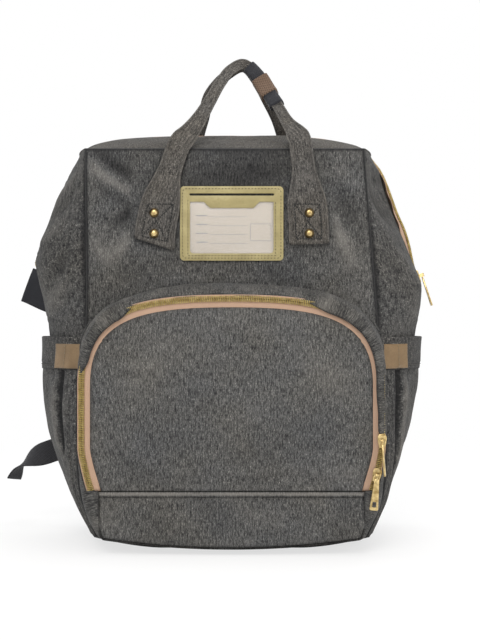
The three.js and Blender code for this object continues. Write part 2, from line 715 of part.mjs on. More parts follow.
// A pull that hangs from the pin: a knuckle, a neck and a blade with a square window at its foot.
function pullBody(twist = 0) {
  const half = PULL_KNUCKLE_WIDTH / 2;
  const knuckle = rod(
    new THREE.Vector3(-half, pinDepth, 0), new THREE.Vector3(half, pinDepth, 0), PULL_KNUCKLE_DIAMETER, 14,
  );
  const bladeTop = -PULL_NECK_LENGTH + PULL_THICKNESS / 2;
  const neck = block(
    [-PULL_THICKNESS / 2, pinDepth - PULL_THICKNESS / 2, -PULL_NECK_LENGTH],
    [PULL_THICKNESS / 2, pinDepth + PULL_THICKNESS / 2, -PULL_KNUCKLE_DIAMETER / 4],
  );
  const outline = new THREE.Shape();
  outline.moveTo(-PULL_NECK_WIDTH / 2, bladeTop);
  outline.lineTo(PULL_NECK_WIDTH / 2, bladeTop);
  outline.lineTo(PULL_FOOT_WIDTH / 2, -PULL_LENGTH + 1);
  outline.lineTo(PULL_FOOT_WIDTH / 2 - 1, -PULL_LENGTH);
  outline.lineTo(1 - PULL_FOOT_WIDTH / 2, -PULL_LENGTH);
  outline.lineTo(-PULL_FOOT_WIDTH / 2, -PULL_LENGTH + 1);
  const windowFoot = -PULL_LENGTH + PULL_WINDOW * 0.8;
  const window = new THREE.Path();
  window.moveTo(-PULL_WINDOW / 2, windowFoot);
  window.lineTo(PULL_WINDOW / 2, windowFoot);
  window.lineTo(PULL_WINDOW / 2, windowFoot + PULL_WINDOW * 1.4);
  window.lineTo(-PULL_WINDOW / 2, windowFoot + PULL_WINDOW * 1.4);
  outline.holes.push(window);
  const blade = plate(outline, -PULL_THICKNESS / 2, PULL_THICKNESS / 2);
  blade.rotateZ(twist);
  blade.translate(0, pinDepth, 0);
  const reach = half + PULL_BORE_CLEARANCE;
  const bore = rod(
    new THREE.Vector3(-reach, pinDepth, 0),
    new THREE.Vector3(reach, pinDepth, 0),
    PIN_DIAMETER + 2 * PULL_BORE_CLEARANCE,
  );
  return geometryOf(solid(knuckle).add(solid(neck)).add(solid(blade)).subtract(solid(bore)));
}

// The main zip's straight runs down both sides; its slider and pull wait at the right end
for (const side of SIDES) {
  const facet = (2 * GUSSET_REACH) / GUSSET_COLUMNS;
  const bulge = side.zipEnd - side.seam(side.zipFoot);
  const edgeDrop = (bulge * facet * MAIN_TAPE_WIDTH) / 2 / GUSSET_REACH ** 2;
  const tapeDepth = GUSSET_THICKNESS + edgeDrop + SEAM_GAP;
  const outward = new THREE.Vector3(side.sign * Math.cos(side.slant), 0, Math.sin(side.slant));
  const along = new THREE.Vector3(-side.sign * Math.sin(side.slant), 0, Math.cos(side.slant));
  const foot = new THREE.Vector3(side.sign * side.zipEnd, 0, side.zipFoot);
  const axes = zipAxes(foot, outward, along);
  const run = (gussetTop - side.zipFoot) / Math.cos(side.slant) - 2 * GUSSET_THICKNESS;
  const tape = block(
    [-MAIN_TAPE_WIDTH / 2, tapeDepth, 2],
    [MAIN_TAPE_WIDTH / 2, tapeDepth + TAPE_THICKNESS, run],
  );
  place(`side_zip_tape_${side.name}`, tape, "tape", axes);
  const teeth = block(
    [-MAIN_TEETH_WIDTH / 2, -TAPE_THICKNESS, 2],
    [MAIN_TEETH_WIDTH / 2, tapeDepth - SEAM_GAP, run],
  );
  place(`side_zip_teeth_${side.name}`, teeth, "teeth", axes);
  if (side === RIGHT) {
    const seat = new THREE.Vector3(0, -TAPE_THICKNESS, SLIDER_LENGTH / 2 + MAIN_SLIDER_START);
    const sliderAxes = axes.clone().multiply(new THREE.Matrix4().setPosition(seat));
    place("main_slider", sliderBody(), "metal", sliderAxes);
    place("main_pull", pullBody(), "metal", sliderAxes);
  }
}

// Half of the front pocket's outline, drawn in by an inset: from the middle of its foot to its crown
function pocketHalf(line, inset) {
  const points = [];
  const legTop = line.legTop;
  const half = (value) => value - inset;
  for (let i = 0; i <= 5; i += 1) {
    const t = i / 5;
    points.push([half(line.footHalf) * t, line.foot + inset + line.footRise * t * t]);
  }
  const low = points.at(-1);
  for (let i = 1; i <= 8; i += 1) {
    const t = i / 8;
    const z = THREE.MathUtils.lerp(low[1], line.legFoot, t);
    const draw = (line.legHalf - line.footHalf) * (1 - t) ** line.draw;
    points.push([half(line.legHalf) - draw, z]);
  }
  points.push([half(line.legHalf), (line.legFoot + legTop) / 2]);
  const arch = new THREE.CubicBezierCurve(
    new THREE.Vector2(half(line.legHalf), legTop),
    new THREE.Vector2(half(line.legHalf), legTop + (line.top - inset - legTop) * line.shoulder),
    new THREE.Vector2(half(line.legHalf) * line.shoulderReach, line.top - inset),
    new THREE.Vector2(0, line.top - inset),
  );
  for (let i = 0; i <= POCKET_ARCH_STEPS; i += 1) {
    const point = arch.getPoint(i / POCKET_ARCH_STEPS);
    points.push([point.x, point.y]);
  }
  return points;
}
const POCKET_ARCH_STEPS = 14;
const holderMiddle = BODY_HEIGHT - HOLDER_DROP;
const pocketSeamTop = holderMiddle - HOLDER_HEIGHT / 2 - POCKET_SEAM_DROP;
const pocketEdgeTop = pocketSeamTop - POCKET_EDGE_DROP;
const pocketSeam = {
  footHalf: POCKET_SEAM_FOOT_HALF_WIDTH,
  foot: POCKET_SEAM_FOOT,
  footRise: 8,
  legFoot: POCKET_EDGE_LEG_FOOT,
  legTop: pocketSeamTop - POCKET_SEAM_ARCH,
  legHalf: POCKET_SEAM_HALF_WIDTH,
  top: pocketSeamTop,
  draw: 2,
  shoulder: 0.67,
  shoulderReach: 0.5,
};
const pocketEdge = {
  footHalf: POCKET_EDGE_FOOT_HALF_WIDTH,
  foot: POCKET_EDGE_FOOT,
  footRise: 9,
  legFoot: POCKET_EDGE_LEG_FOOT,
  legTop: pocketEdgeTop - POCKET_EDGE_ARCH,
  legHalf: POCKET_EDGE_HALF_WIDTH,
  top: pocketEdgeTop,
  draw: 1.3,
  shoulder: 0.86,
  shoulderReach: 0.64,
};

// The closed loop of a pocket outline at one depth, and its open arch above a given height
function pocketLoop(line, inset, y) {
  const half = pocketHalf(line, inset);
  const right = half.map(([x, z]) => new THREE.Vector3(x, y, z));
  const left = half.slice(1, -1).reverse().map(([x, z]) => new THREE.Vector3(-x, y, z));
  return [...right, ...left];
}
function heightOn(points, z) {
  let i = 0;
  while (i < points.length - 2 && points[i + 1][1] < z) {
    i += 1;
  }
  const [a, b] = [points[i], points[i + 1]];
  const t = (z - a[1]) / (b[1] - a[1]);
  return [THREE.MathUtils.lerp(a[0], b[0], t), z];
}
function pocketArch(line, inset, rightFoot, leftFoot) {
  const half = pocketHalf(line, inset);
  const above = (foot) => [heightOn(half, foot), ...half.filter(([, z]) => z > foot + 1)];
  const right = above(rightFoot);
  const left = above(leftFoot).map(([x, z]) => [-x, z]);
  return [...right, ...left.reverse().slice(1)];
}

// A flat band along the pocket's arch between two insets
function archBand(outerInset, innerInset, front, back, rightFoot, leftFoot) {
  const row = (inset, y) =>
    pocketArch(pocketEdge, inset, rightFoot, leftFoot).map(([x, z]) => new THREE.Vector3(x, y, z));
  const outer = [row(outerInset, front), row(innerInset, front)];
  const inner = [row(outerInset, back), row(innerInset, back)];
  return wall(outer, inner);
}
function outlineShape(points) {
  const shape = new THREE.Shape();
  shape.moveTo(...points[0]);
  for (const point of points.slice(1)) {
    shape.lineTo(...point);
  }
  return shape;
}

const pocketBack = FRONT - SEAM_GAP;
const pocketFront = pocketBack - POCKET_DEPTH;
const pocketRing = [0, 1 / 3, 2 / 3, 1].map((t) => {
  const seam = pocketLoop(pocketSeam, 0, pocketBack);
  const edge = pocketLoop(pocketEdge, 0, pocketFront);
  return seam.map((point, i) => point.clone().lerp(edge[i], t));
});
const pocketLining = [0, 1 / 3, 2 / 3, 1].map((t) => {
  const seam = pocketLoop(pocketSeam, POCKET_WALL, pocketBack);
  const edge = pocketLoop(pocketEdge, POCKET_WALL, pocketFront);
  return seam.map((point, i) => point.clone().lerp(edge[i], t));
});
const turned = (rows) => rows[0].map((_, i) => rows.map((row) => row[i]));
place("front_pocket_gusset", wall(turned(pocketRing), turned(pocketLining), true), "cloth");

// The zip round the pocket's front edge: the outer half stays on the gusset, the inner on the flap
const tapeBack = pocketFront - SEAM_GAP;
const tapeFront = tapeBack - TAPE_THICKNESS;
const teethBack = tapeFront - SEAM_GAP;
const teethFront = teethBack - TEETH_HEIGHT;
const outerRowEnd = POCKET_TAPE_EDGE + TEETH_ROW_WIDTH;
const innerRowStart = outerRowEnd + FIT_GAP;
const innerRowEnd = innerRowStart + TEETH_ROW_WIDTH;
const zipFoot = POCKET_SILL + FIT_GAP;
const chainInset = (outerRowEnd + innerRowStart) / 2;
place("pocket_zip_tape", archBand(FIT_GAP, outerRowEnd, tapeFront, tapeBack, zipFoot, zipFoot), "tape");
place(
  "pocket_zip_teeth",
  archBand(POCKET_TAPE_EDGE, outerRowEnd, teethFront, teethBack, zipFoot, zipFoot),
  "teeth",
);
const flapInset = innerRowEnd + FLAP_TAPE_SHOWN;
place(
  "flap_zip_tape",
  archBand(innerRowStart, flapInset + FLAP_TAPE_HIDDEN, tapeFront, tapeBack, FLAP_ZIP_START, zipFoot),
  "tape",
);
place(
  "flap_zip_teeth",
  archBand(innerRowStart, innerRowEnd, teethFront, teethBack, FLAP_ZIP_START, zipFoot),
  "teeth",
);
const flapOutline = outlineShape(pocketArch(pocketEdge, flapInset, zipFoot, zipFoot));
place("front_flap", plate(flapOutline, teethBack - FLAP_THICKNESS, teethBack), "cloth");

// Below the flap's seam a fixed panel closes the pocket
const lowerPoints = pocketHalf(pocketEdge, FIT_GAP).filter(([, z]) => z < POCKET_SILL - 1);
lowerPoints.push(heightOn(pocketHalf(pocketEdge, FIT_GAP), POCKET_SILL - FIT_GAP));
const lowerOutline = outlineShape([
  ...lowerPoints,
  ...lowerPoints.slice(1).reverse().map(([x, z]) => [-x, z]),
]);
place(
  "front_pocket_lower_panel",
  plate(lowerOutline, tapeBack - LOWER_PANEL_THICKNESS, tapeBack),
  "cloth",
);

// The pocket's two sliders, at the right foot of the zip
function chainPoint(height) {
  const [x, z] = heightOn(pocketHalf(pocketEdge, chainInset), height);
  return new THREE.Vector3(x, teethFront, z);
}
function pocketSlider(name, height, tilt, twist, lean) {
  const turn = new THREE.Matrix4().makeRotationY(tilt);
  const axes = turn.clone().setPosition(chainPoint(height));
  place(`pocket_slider_${name}`, sliderBody(), "metal", axes);
  const hang = new THREE.Matrix4().makeRotationY(lean - tilt);
  place(`pocket_pull_${name}`, pullBody(twist), "metal", axes.clone().multiply(hang));
}
const { degToRad } = THREE.MathUtils;
pocketSlider("upper", POCKET_SLIDER_UPPER_HEIGHT, 0, degToRad(UPPER_PULL_TWIST), degToRad(-UPPER_PULL_LEAN));
pocketSlider("lower", POCKET_SLIDER_LOWER_HEIGHT, degToRad(LOWER_SLIDER_TILT), 0, degToRad(LOWER_PULL_LEAN));

// Name holder: a stitched frame with a window, a film and a card behind it
const holderBack = FRONT - SEAM_GAP;
const recessDepth = CARD_THICKNESS + WINDOW_FILM_THICKNESS + 2 * FIT_GAP;
const windowMiddle = holderMiddle - HOLDER_WINDOW_DROP;
const windowTop = windowMiddle + HOLDER_WINDOW_HEIGHT / 2;
const windowFoot = windowMiddle - HOLDER_WINDOW_HEIGHT / 2;
const windowCorner = 4;
const cardWidth = HOLDER_WINDOW_WIDTH + 2 * CARD_MARGIN;
const cardHeight = HOLDER_WINDOW_HEIGHT + 2 * CARD_MARGIN;
function holderFrame() {
  const outline = roundedRectangle(0, holderMiddle, HOLDER_WIDTH, HOLDER_HEIGHT, windowCorner);
  const opening = new THREE.Path();
  const half = HOLDER_WINDOW_WIDTH / 2;
  opening.moveTo(-half, windowTop);
  opening.lineTo(-half, windowFoot + windowCorner);
  opening.quadraticCurveTo(-half, windowFoot, -half + windowCorner, windowFoot);
  opening.lineTo(half - windowCorner, windowFoot);
  opening.quadraticCurveTo(half, windowFoot, half, windowFoot + windowCorner);
  opening.lineTo(half, windowTop);
  opening.lineTo(HOLDER_TAB_WIDTH / 2 + HOLDER_TAB_DROP, windowTop);
  opening.lineTo(HOLDER_TAB_WIDTH / 2, windowTop - HOLDER_TAB_DROP);
  opening.lineTo(-HOLDER_TAB_WIDTH / 2, windowTop - HOLDER_TAB_DROP);
  opening.lineTo(-HOLDER_TAB_WIDTH / 2 - HOLDER_TAB_DROP, windowTop);
  outline.holes.push(opening);
  const slotHeight = holderMiddle + HOLDER_SLOT_RISE;
  outline.holes.push(
    roundedRectangle(0, slotHeight, HOLDER_SLOT_WIDTH, HOLDER_SLOT_HEIGHT, HOLDER_SLOT_HEIGHT / 2 - 0.01),
  );
  const frame = solid(plate(outline, holderBack - HOLDER_THICKNESS, holderBack, 4));
  const recess = block(
    [-cardWidth / 2 - FIT_GAP, holderBack - recessDepth, windowMiddle - cardHeight / 2 - FIT_GAP],
    [cardWidth / 2 + FIT_GAP, holderBack + 1, windowMiddle + cardHeight / 2 + FIT_GAP],
  );
  return geometryOf(frame.subtract(solid(recess)));
}
place("name_holder_frame", holderFrame(), "holder");
place(
  "name_holder_card",
  block(
    [-cardWidth / 2, holderBack - CARD_THICKNESS, windowMiddle - cardHeight / 2],
    [cardWidth / 2, holderBack, windowMiddle + cardHeight / 2],
  ),
  "card",
);
const filmBack = holderBack - CARD_THICKNESS - FIT_GAP;
place(
  "name_holder_film",
  block(
    [-cardWidth / 2, filmBack - WINDOW_FILM_THICKNESS, windowMiddle - cardHeight / 2],
    [cardWidth / 2, filmBack, windowMiddle + cardHeight / 2],
  ),
  "film",
);

// Handle patches: each spreads at its foot, is riveted to the panel and narrows into the handle's leg
const legTopX = { left: HANDLE_LEG_TOP_LEFT, right: HANDLE_LEG_TOP_RIGHT };
const patchSpread = HOLDER_WIDTH / 2 + HANDLE_PATCH_CLEAR + HANDLE_PATCH_WIDTH / 2;
const patchFoot = BODY_HEIGHT - HANDLE_PATCH_DROP;
const patchShoulder = patchFoot + HANDLE_PATCH_SHOULDER;
function legMiddle(side, z) {
  const rise = Math.max(0, (z - patchShoulder) / (BODY_HEIGHT - patchShoulder));
  return side.sign * (patchSpread - (patchSpread - legTopX[side.name]) * rise ** 1.5);
}
function legHalf(z) {
  const t = THREE.MathUtils.smoothstep(z, patchShoulder, BODY_HEIGHT - HANDLE_LEG_DROP);
  return THREE.MathUtils.lerp(HANDLE_PATCH_WIDTH, HANDLE_WIDTH, t) / 2;
}
function patchShape(side) {
  const edge = (hand) => {
    const points = [];
    for (let i = 0; i <= 9; i += 1) {
      const t = i / 9;
      const start = patchFoot + hand * side.sign * HANDLE_PATCH_TILT[side.name] * (HANDLE_PATCH_WIDTH / 2);
      const z = THREE.MathUtils.lerp(start, BODY_HEIGHT, t);
      points.push([legMiddle(side, z) + hand * legHalf(z), z]);
    }
    return points;
  };
  return outlineShape([...edge(-1), ...edge(1).reverse()]);
}
for (const [face, facing] of [["front", -1], ["back", 1]]) {
  for (const side of SIDES) {
    const near = facing * (BODY_DEPTH / 2 + SEAM_GAP);
    const far = near + facing * HANDLE_THICKNESS;
    const patch = plate(patchShape(side), Math.min(near, far), Math.max(near, far));
    place(`handle_patch_${face}_${side.name}`, patch, "handle");
  }
}
const rivetBack = FRONT - SEAM_GAP - HANDLE_THICKNESS - FIT_GAP;
for (const side of SIDES) {
  for (const [tier, row] of [["lower", 0], ["upper", 1]]) {
    const z = patchFoot + RIVET_INSET + row * RIVET_SPACING;
    const head = new THREE.CylinderGeometry(RIVET_DIAMETER / 2, RIVET_DIAMETER * 0.32, RIVET_HEAD, 20);
    head.translate(legMiddle(side, z), rivetBack - RIVET_HEAD / 2, z);
    place(`rivet_${side.name}_${tier}`, head, "metal");
  }
}

// Carry handles: each leaves its two legs at the top seam and leans over the lid to a narrow crown
function handleWidthAt(t) {
  const spread = Math.min(1, Math.abs(2 * t - 1) / HANDLE_TAPER_END);
  const taper = t < 0.5 ? HANDLE_TAPER.left : HANDLE_TAPER.right;
  return THREE.MathUtils.lerp(HANDLE_CROWN_WIDTH, HANDLE_WIDTH, spread ** taper);
}
const handleSeat = BODY_DEPTH / 2 + SEAM_GAP + HANDLE_THICKNESS / 2;
const handleFoot = BODY_HEIGHT + FIT_GAP;
const handleTrim = 12;
const crownGap = HANDLE_THICKNESS / 2 + 2.5;
function handleRoute(facing, bulge) {
  const height = (share) => handleFoot + HANDLE_RISE * share;
  const depth = (share) => facing * THREE.MathUtils.lerp(crownGap, handleSeat, share);
  const left = -HANDLE_LEG_TOP_LEFT;
  const right = HANDLE_LEG_TOP_RIGHT;
  const legSlope = (side) => (legMiddle(side, BODY_HEIGHT) - legMiddle(side, BODY_HEIGHT - 1)) * handleTrim;
  const over = (from, share) => THREE.MathUtils.lerp(from, HANDLE_CROWN_X, share);
  return [
    [left - legSlope(LEFT), depth(1), handleFoot - handleTrim],
    [left, depth(1), handleFoot],
    [over(left, 0.04), depth(0.99), height(0.05)],
    [over(left, 0.16), depth(0.92), height(0.15)],
    [over(left, 0.31 - 0.8 * bulge), depth(0.79), height(0.31)],
    [over(left, 0.47 - 1.1 * bulge), depth(0.6), height(0.52)],
    [over(left, 0.63 - 1.6 * bulge), depth(0.4), height(0.74)],
    [over(left, 0.8 - 0.8 * bulge), depth(0.15), height(0.92)],
    [HANDLE_CROWN_X, depth(0), height(1)],
    [over(right, 0.75), depth(0.1), height(0.86)],
    [over(right, 0.57), depth(0.22), height(0.68)],
    [over(right, 0.38), depth(0.4), height(0.49)],
    [over(right, 0.23), depth(0.66), height(0.3)],
    [over(right, 0.07), depth(0.92), height(0.14)],
    [over(right, 0.01), depth(0.99), height(0.05)],
    [right, depth(1), handleFoot],
    [right - legSlope(RIGHT), depth(1), handleFoot - handleTrim],
  ];
}
const HANDLE_STEPS = 30;
for (const [face, facing, bulge] of [["front", -1, 0], ["back", 1, BACK_HANDLE_BULGE]]) {
  const stations = strapStations(handleRoute(facing, bulge), [0, facing, 0], HANDLE_STEPS);
  const whole = solid(strap(stations, handleWidthAt, HANDLE_THICKNESS));
  const below = block(
    [-BODY_HEIGHT / 2, -BODY_DEPTH, BODY_HEIGHT / 2],
    [BODY_HEIGHT / 2, BODY_DEPTH, handleFoot],
  );
  place(`handle_${face}`, geometryOf(whole.subtract(solid(below))), "handle");
}

// A soft wrap round the front handle, held shut by a woven ring
const gripRoute = handleRoute(-1, 0);
const wrapStations = strapStations(gripRoute, [0, -1, 0], 8, 0.53, 0.74);
place(
  "handle_wrap_pad",
  sleeve(wrapStations, handleWidthAt, HANDLE_THICKNESS, WRAP_PLAY, WRAP_THICKNESS),
  "dark",
);
const ringPlay = 2 * (WRAP_PLAY + WRAP_THICKNESS);
const ringStations = strapStations(gripRoute, [0, -1, 0], 5, 0.6, 0.68);
place(
  "handle_wrap_ring",
  sleeve(ringStations, handleWidthAt, HANDLE_THICKNESS, ringPlay, WRAP_RING_THICKNESS),
  "ring",
);

// Shoulder straps behind the back panel: a padded strap, its webbing, a ladder lock and an anchor
const padSeat = BACK + SEAM_GAP + STRAP_PAD_THICKNESS / 2;
const strapTop = BODY_HEIGHT - STRAP_TOP_DROP;
const padRoutes = {
  left: [
    [-24, padSeat, strapTop],
    [-26, padSeat + 3, strapTop - 28],
    [-42, padSeat + 8, strapTop - 68],
    [-84, padSeat + 13, strapTop - 98],
    [-140, padSeat + 16, strapTop - 116],
    [-192, padSeat + 17, strapTop - 120],
    [-227, padSeat + 17, strapTop - 108],
  ],
  right: [
    [26, padSeat, strapTop],
    [27, padSeat + 3.5, strapTop - 28],
    [46, padSeat + 8, strapTop - 68],
    [84, padSeat + 13, strapTop - 113],
    [118, padSeat + 14, strapTop - 158],
    [134, padSeat + 12, strapTop - 198],
  ],
};
function padWidthAt(t) {
  const flare = THREE.MathUtils.smoothstep(t, 0, 0.4);
  const taper = THREE.MathUtils.smoothstep(t, 0.6, 1);
  return (
    THREE.MathUtils.lerp(STRAP_PAD_TOP_WIDTH, STRAP_PAD_WIDTH, flare) -
    (STRAP_PAD_WIDTH - STRAP_PAD_END_WIDTH) * taper
  );
}
const webbingRise = STRAP_PAD_THICKNESS / 2 + 2 * FIT_GAP + WEBBING_THICKNESS / 2;
const anchorFront = BACK + SEAM_GAP;
const lockFront = anchorFront + ANCHOR_THICKNESS + FIT_GAP;
const lockSeat = lockFront + LOCK_THICKNESS + FIT_GAP + WEBBING_THICKNESS / 2;
const webbingRoutes = {
  left: [
    [-205, padSeat + 17 + webbingRise, strapTop - 116],
    [-190, padSeat + 20 + webbingRise, strapTop - 132],
    [-172, padSeat + 17, strapTop - 168],
    [-164, padSeat + 10, strapTop - 218],
    [-164, lockSeat + 0.6, 105],
    [-176, lockSeat + 0.3, 87],
    [-200, padSeat + 5, 77],
    [-222, padSeat + 10, 69],
    [-234, padSeat + 12, 60],
    [-241, padSeat + 13, 46],
  ],
  right: [
    [130, padSeat + 14 + webbingRise, strapTop - 168],
    [138, padSeat + 13 + webbingRise, strapTop - 200],
    [145, padSeat + 12, strapTop - 228],
    [148, lockSeat + 0.6, 105],
    [146, lockSeat + 0.6, 85],
    [142, padSeat + 8, 50],
  ],
};
const anchorOutlines = {
  left: [[-128, 42], [-150, 45], [-179, 80], [-179, 98], [-152, 98], [-128, 72]],
  right: [[128, 42], [128, 72], [140, 98], [164, 98], [164, 82], [146, 45]],
};
const webbingTurns = {
  left: (t) => degToRad(WEBBING_TWIST) * THREE.MathUtils.smoothstep(t, 0.78, 1),
  right: () => 0,
};
const lockMiddles = { left: [-165, 106], right: [150, 106] };
const lockWidth = WEBBING_WIDTH + LOCK_PLAY + 2 * LOCK_BAR;
for (const side of SIDES) {
  const pad = strapStations(padRoutes[side.name], [0, 1, 0], 18);
  place(`strap_pad_${side.name}`, strap(pad, padWidthAt, STRAP_PAD_THICKNESS), "dark");
  const turn = webbingTurns[side.name];
  const webbing = strapStations(webbingRoutes[side.name], [0, 1, 0], 36, 0, 1, turn);
  place(`strap_webbing_${side.name}`, strap(webbing, () => WEBBING_WIDTH, WEBBING_THICKNESS), "webbing");
  const anchor = outlineShape(anchorOutlines[side.name]);
  place(`strap_anchor_${side.name}`, plate(anchor, anchorFront, anchorFront + ANCHOR_THICKNESS), "cloth");
  const [x, z] = lockMiddles[side.name];
  const lock = roundedRectangle(x, z, lockWidth, LOCK_HEIGHT, LOCK_BAR / 2);
  const gap = (LOCK_HEIGHT - 3 * LOCK_BAR) / 2;
  for (const row of [-1, 1]) {
    lock.holes.push(
      roundedRectangle(x, z + (row * (gap + LOCK_BAR)) / 2, WEBBING_WIDTH + LOCK_PLAY, gap, gap / 3),
    );
  }
  place(`ladder_lock_${side.name}`, plate(lock, lockFront, lockFront + LOCK_THICKNESS, 3), "plastic");
}

export default part;
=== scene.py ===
"""A diaper backpack of heathered grey cloth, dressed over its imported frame.

Sizes in the classes are millimetres and the meshes are metres. +X is right as
the front is seen, the front faces -Y, +Z is up, and the origin is the middle of
the flat base.
"""

from __future__ import annotations

import logging
import math
from collections.abc import Callable, Sequence
from dataclasses import dataclass, field
from enum import Enum

import bmesh
import bpy
from bpy.types import Material, Node, NodeOutputs, NodeSocket, NodeTree, Object
from mathutils import Matrix, Vector, noise


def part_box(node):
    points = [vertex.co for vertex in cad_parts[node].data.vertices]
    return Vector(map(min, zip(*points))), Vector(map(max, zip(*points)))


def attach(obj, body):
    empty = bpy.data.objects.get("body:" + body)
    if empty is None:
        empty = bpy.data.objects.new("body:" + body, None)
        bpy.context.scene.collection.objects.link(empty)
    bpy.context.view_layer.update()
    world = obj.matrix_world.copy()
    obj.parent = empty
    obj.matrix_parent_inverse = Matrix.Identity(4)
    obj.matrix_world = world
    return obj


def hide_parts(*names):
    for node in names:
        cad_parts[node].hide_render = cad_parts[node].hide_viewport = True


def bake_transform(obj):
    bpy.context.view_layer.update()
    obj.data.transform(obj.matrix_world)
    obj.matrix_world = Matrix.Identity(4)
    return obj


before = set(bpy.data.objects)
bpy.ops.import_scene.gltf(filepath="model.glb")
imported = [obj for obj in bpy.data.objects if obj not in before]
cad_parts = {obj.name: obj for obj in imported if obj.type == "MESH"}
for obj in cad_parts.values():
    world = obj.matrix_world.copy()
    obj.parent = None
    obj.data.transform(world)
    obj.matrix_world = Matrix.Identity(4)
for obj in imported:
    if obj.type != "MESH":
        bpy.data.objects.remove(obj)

LOG = logging.getLogger("backpack")
MM = 0.001  # metres in a millimetre
CLOTH_MAP = "cloth"
# vertex attribute of painted highlight and shade on folds, creases and seams
FOLD_SHADE = "fold"

Point = tuple[float, float, float]
Flat = tuple[float, float]
Tint = tuple[float, float, float, float]
Surface = Callable[[float, float], Point]
Weave = Callable[[Point, float, float], Flat]
Shade = Callable[[float, float], float]
Along = Callable[[float], float]
Hold = Callable[[Vector], float]
Places = list[tuple[Vector, Vector, Vector]]


# --- Numbers and curves ---


def lerp(a: float, b: float, t: float) -> float:
    """Returns the value a share t of the way from a to b."""
    return a + (b - a) * t


def clamp(value: float, low: float = 0.0, high: float = 1.0) -> float:
    """Returns value held between low and high."""
    return max(low, min(high, value))


def smooth(value: float, low: float, high: float) -> float:
    """Returns a soft step from 0 at low to 1 at high."""
    t = clamp((value - low) / (high - low))
    return t * t * (3 - 2 * t)


def bump(value: float, middle: float, width: float) -> float:
    """Returns a bell of height 1 about middle."""
    return math.exp(-(((value - middle) / width) ** 2))


def ripple(x: float, y: float, z: float, octaves: int = 3) -> float:
    """Returns a smooth, repeatable unevenness between about -1 and 1."""
    return noise.fractal(Vector((x, y, z)), 1.0, 2.1, octaves)


@dataclass(frozen=True)
class Profile:
    """A smooth line through (height, value) stations."""

    stations: tuple[Flat, ...]

    def at(self, height: float) -> float:
        """Reads the line at a height.

        Args:
            height: Where to read it.

        Returns:
            The value there, held at the first and last stations.
        """
        stations = self.stations
        last = len(stations) - 1

        def slope(i: int, j: int) -> float:
            """Returns the slope between two stations."""
            return (stations[j][1] - stations[i][1]) / (stations[j][0] - stations[i][0])

        i = 0
        while i < last - 1 and height > stations[i + 1][0]:
            i += 1
        span = stations[i + 1][0] - stations[i][0]
        t = clamp((height - stations[i][0]) / span)
        rest = 1 - t
        start = slope(max(i - 1, 0), min(i + 1, last))
        end = slope(max(i, 0), min(i + 2, last))
        return (
            rest * rest * (1 + 2 * t) * stations[i][1]
            + t * rest * rest * span * start
            + t * t * (3 - 2 * t) * stations[i + 1][1]
            - t * t * rest * span * end
        )


def crowd(share: float) -> float:
    """Returns a share moved towards the nearer end, so that steps gather at both ends."""
    return lerp(share, (1 - math.cos(math.pi * share)) / 2, 0.7)


def rolled(edge: float, reach: float) -> float:
    """Returns how far a rounded edge has turned back, from 1 on the edge to 0 past its reach."""
    return 1 - math.sqrt(clamp(1 - (1 - clamp(edge / reach)) ** 2))


def fixed(value: float) -> Along:
    """Returns a value that stays the same along a strap."""
    return lambda share: value


@dataclass
class Route:
    """A smooth way through points in space, read by its share of length."""

    points: Sequence[Point]
    steps: int = 16
    line: list[Vector] = field(init=False)
    lengths: list[float] = field(init=False)

    def __post_init__(self) -> None:
        """Samples the way finely and adds up its length."""
        knots = [Vector(p) for p in self.points]
        knots = [2 * knots[0] - knots[1], *knots, 2 * knots[-1] - knots[-2]]
        self.line = []
        for i in range(1, len(knots) - 2):
            a, b, c, d = knots[i - 1 : i + 3]
            tb = math.sqrt((b - a).length)
            tc = tb + math.sqrt((c - b).length)
            td = tc + math.sqrt((d - c).length)
            for step in range(self.steps):
                t = lerp(tb, tc, step / self.steps)
                ab = a.lerp(b, t / tb)
                bc = b.lerp(c, (t - tb) / (tc - tb))
                cd = c.lerp(d, (t - tc) / (td - tc))
                abc = ab.lerp(bc, t / tc)
                bcd = bc.lerp(cd, (t - tb) / (td - tb))
                self.line.append(abc.lerp(bcd, (t - tb) / (tc - tb)))
        self.line.append(knots[-2])
        self.lengths = [0.0]
        for a, b in zip(self.line, self.line[1:]):
            self.lengths.append(self.lengths[-1] + (b - a).length)

    @property
    def length(self) -> float:
        """Returns the whole length."""
        return self.lengths[-1]

    def at(self, share: float) -> tuple[Vector, Vector]:
        """Reads the way.

        Args:
            share: Share of its length, from 0 to 1.

        Returns:
            The point there and the unit direction of travel.
        """
        goal = clamp(share) * self.length
        low, high = 0, len(self.lengths) - 2
        while low < high:
            middle = (low + high + 1) // 2
            if self.lengths[middle] <= goal:
                low = middle
            else:
                high = middle - 1
        a, b = self.line[low], self.line[low + 1]
        run = self.lengths[low + 1] - self.lengths[low]
        before = self.line[max(low - 1, 0)]
        after = self.line[min(low + 2, len(self.line) - 1)]
        share = (goal - self.lengths[low]) / run if run else 0.0
        return a.lerp(b, share), (after - before).normalized()


@dataclass(frozen=True)
class Fold:
    """A soft ridge or valley pressed into cloth along a straight line."""

    start: Flat
    end: Flat
    width: float
    height: float

    def at(self, a: float, b: float) -> float:
        """Returns the fold's height at a place on the cloth.

        Args:
            a: Place across the cloth.
            b: Place up the cloth.

        Returns:
            Its height there.
        """
        along = (self.end[0] - self.start[0], self.end[1] - self.start[1])
        length = along[0] ** 2 + along[1] ** 2
        t = clamp(((a - self.start[0]) * along[0] + (b - self.start[1]) * along[1]) / length)
        da = a - self.start[0] - along[0] * t
        db = b - self.start[1] - along[1] * t
        fade = 0.55 + 0.45 * math.sin(math.pi * t)
        return self.height * math.exp(-(da * da + db * db) / self.width**2) * fade


def folds_at(folds: Sequence[Fold], a: float, b: float) -> float:
    """Returns the height of all the folds together at a place."""
    return sum(fold.at(a, b) for fold in folds)


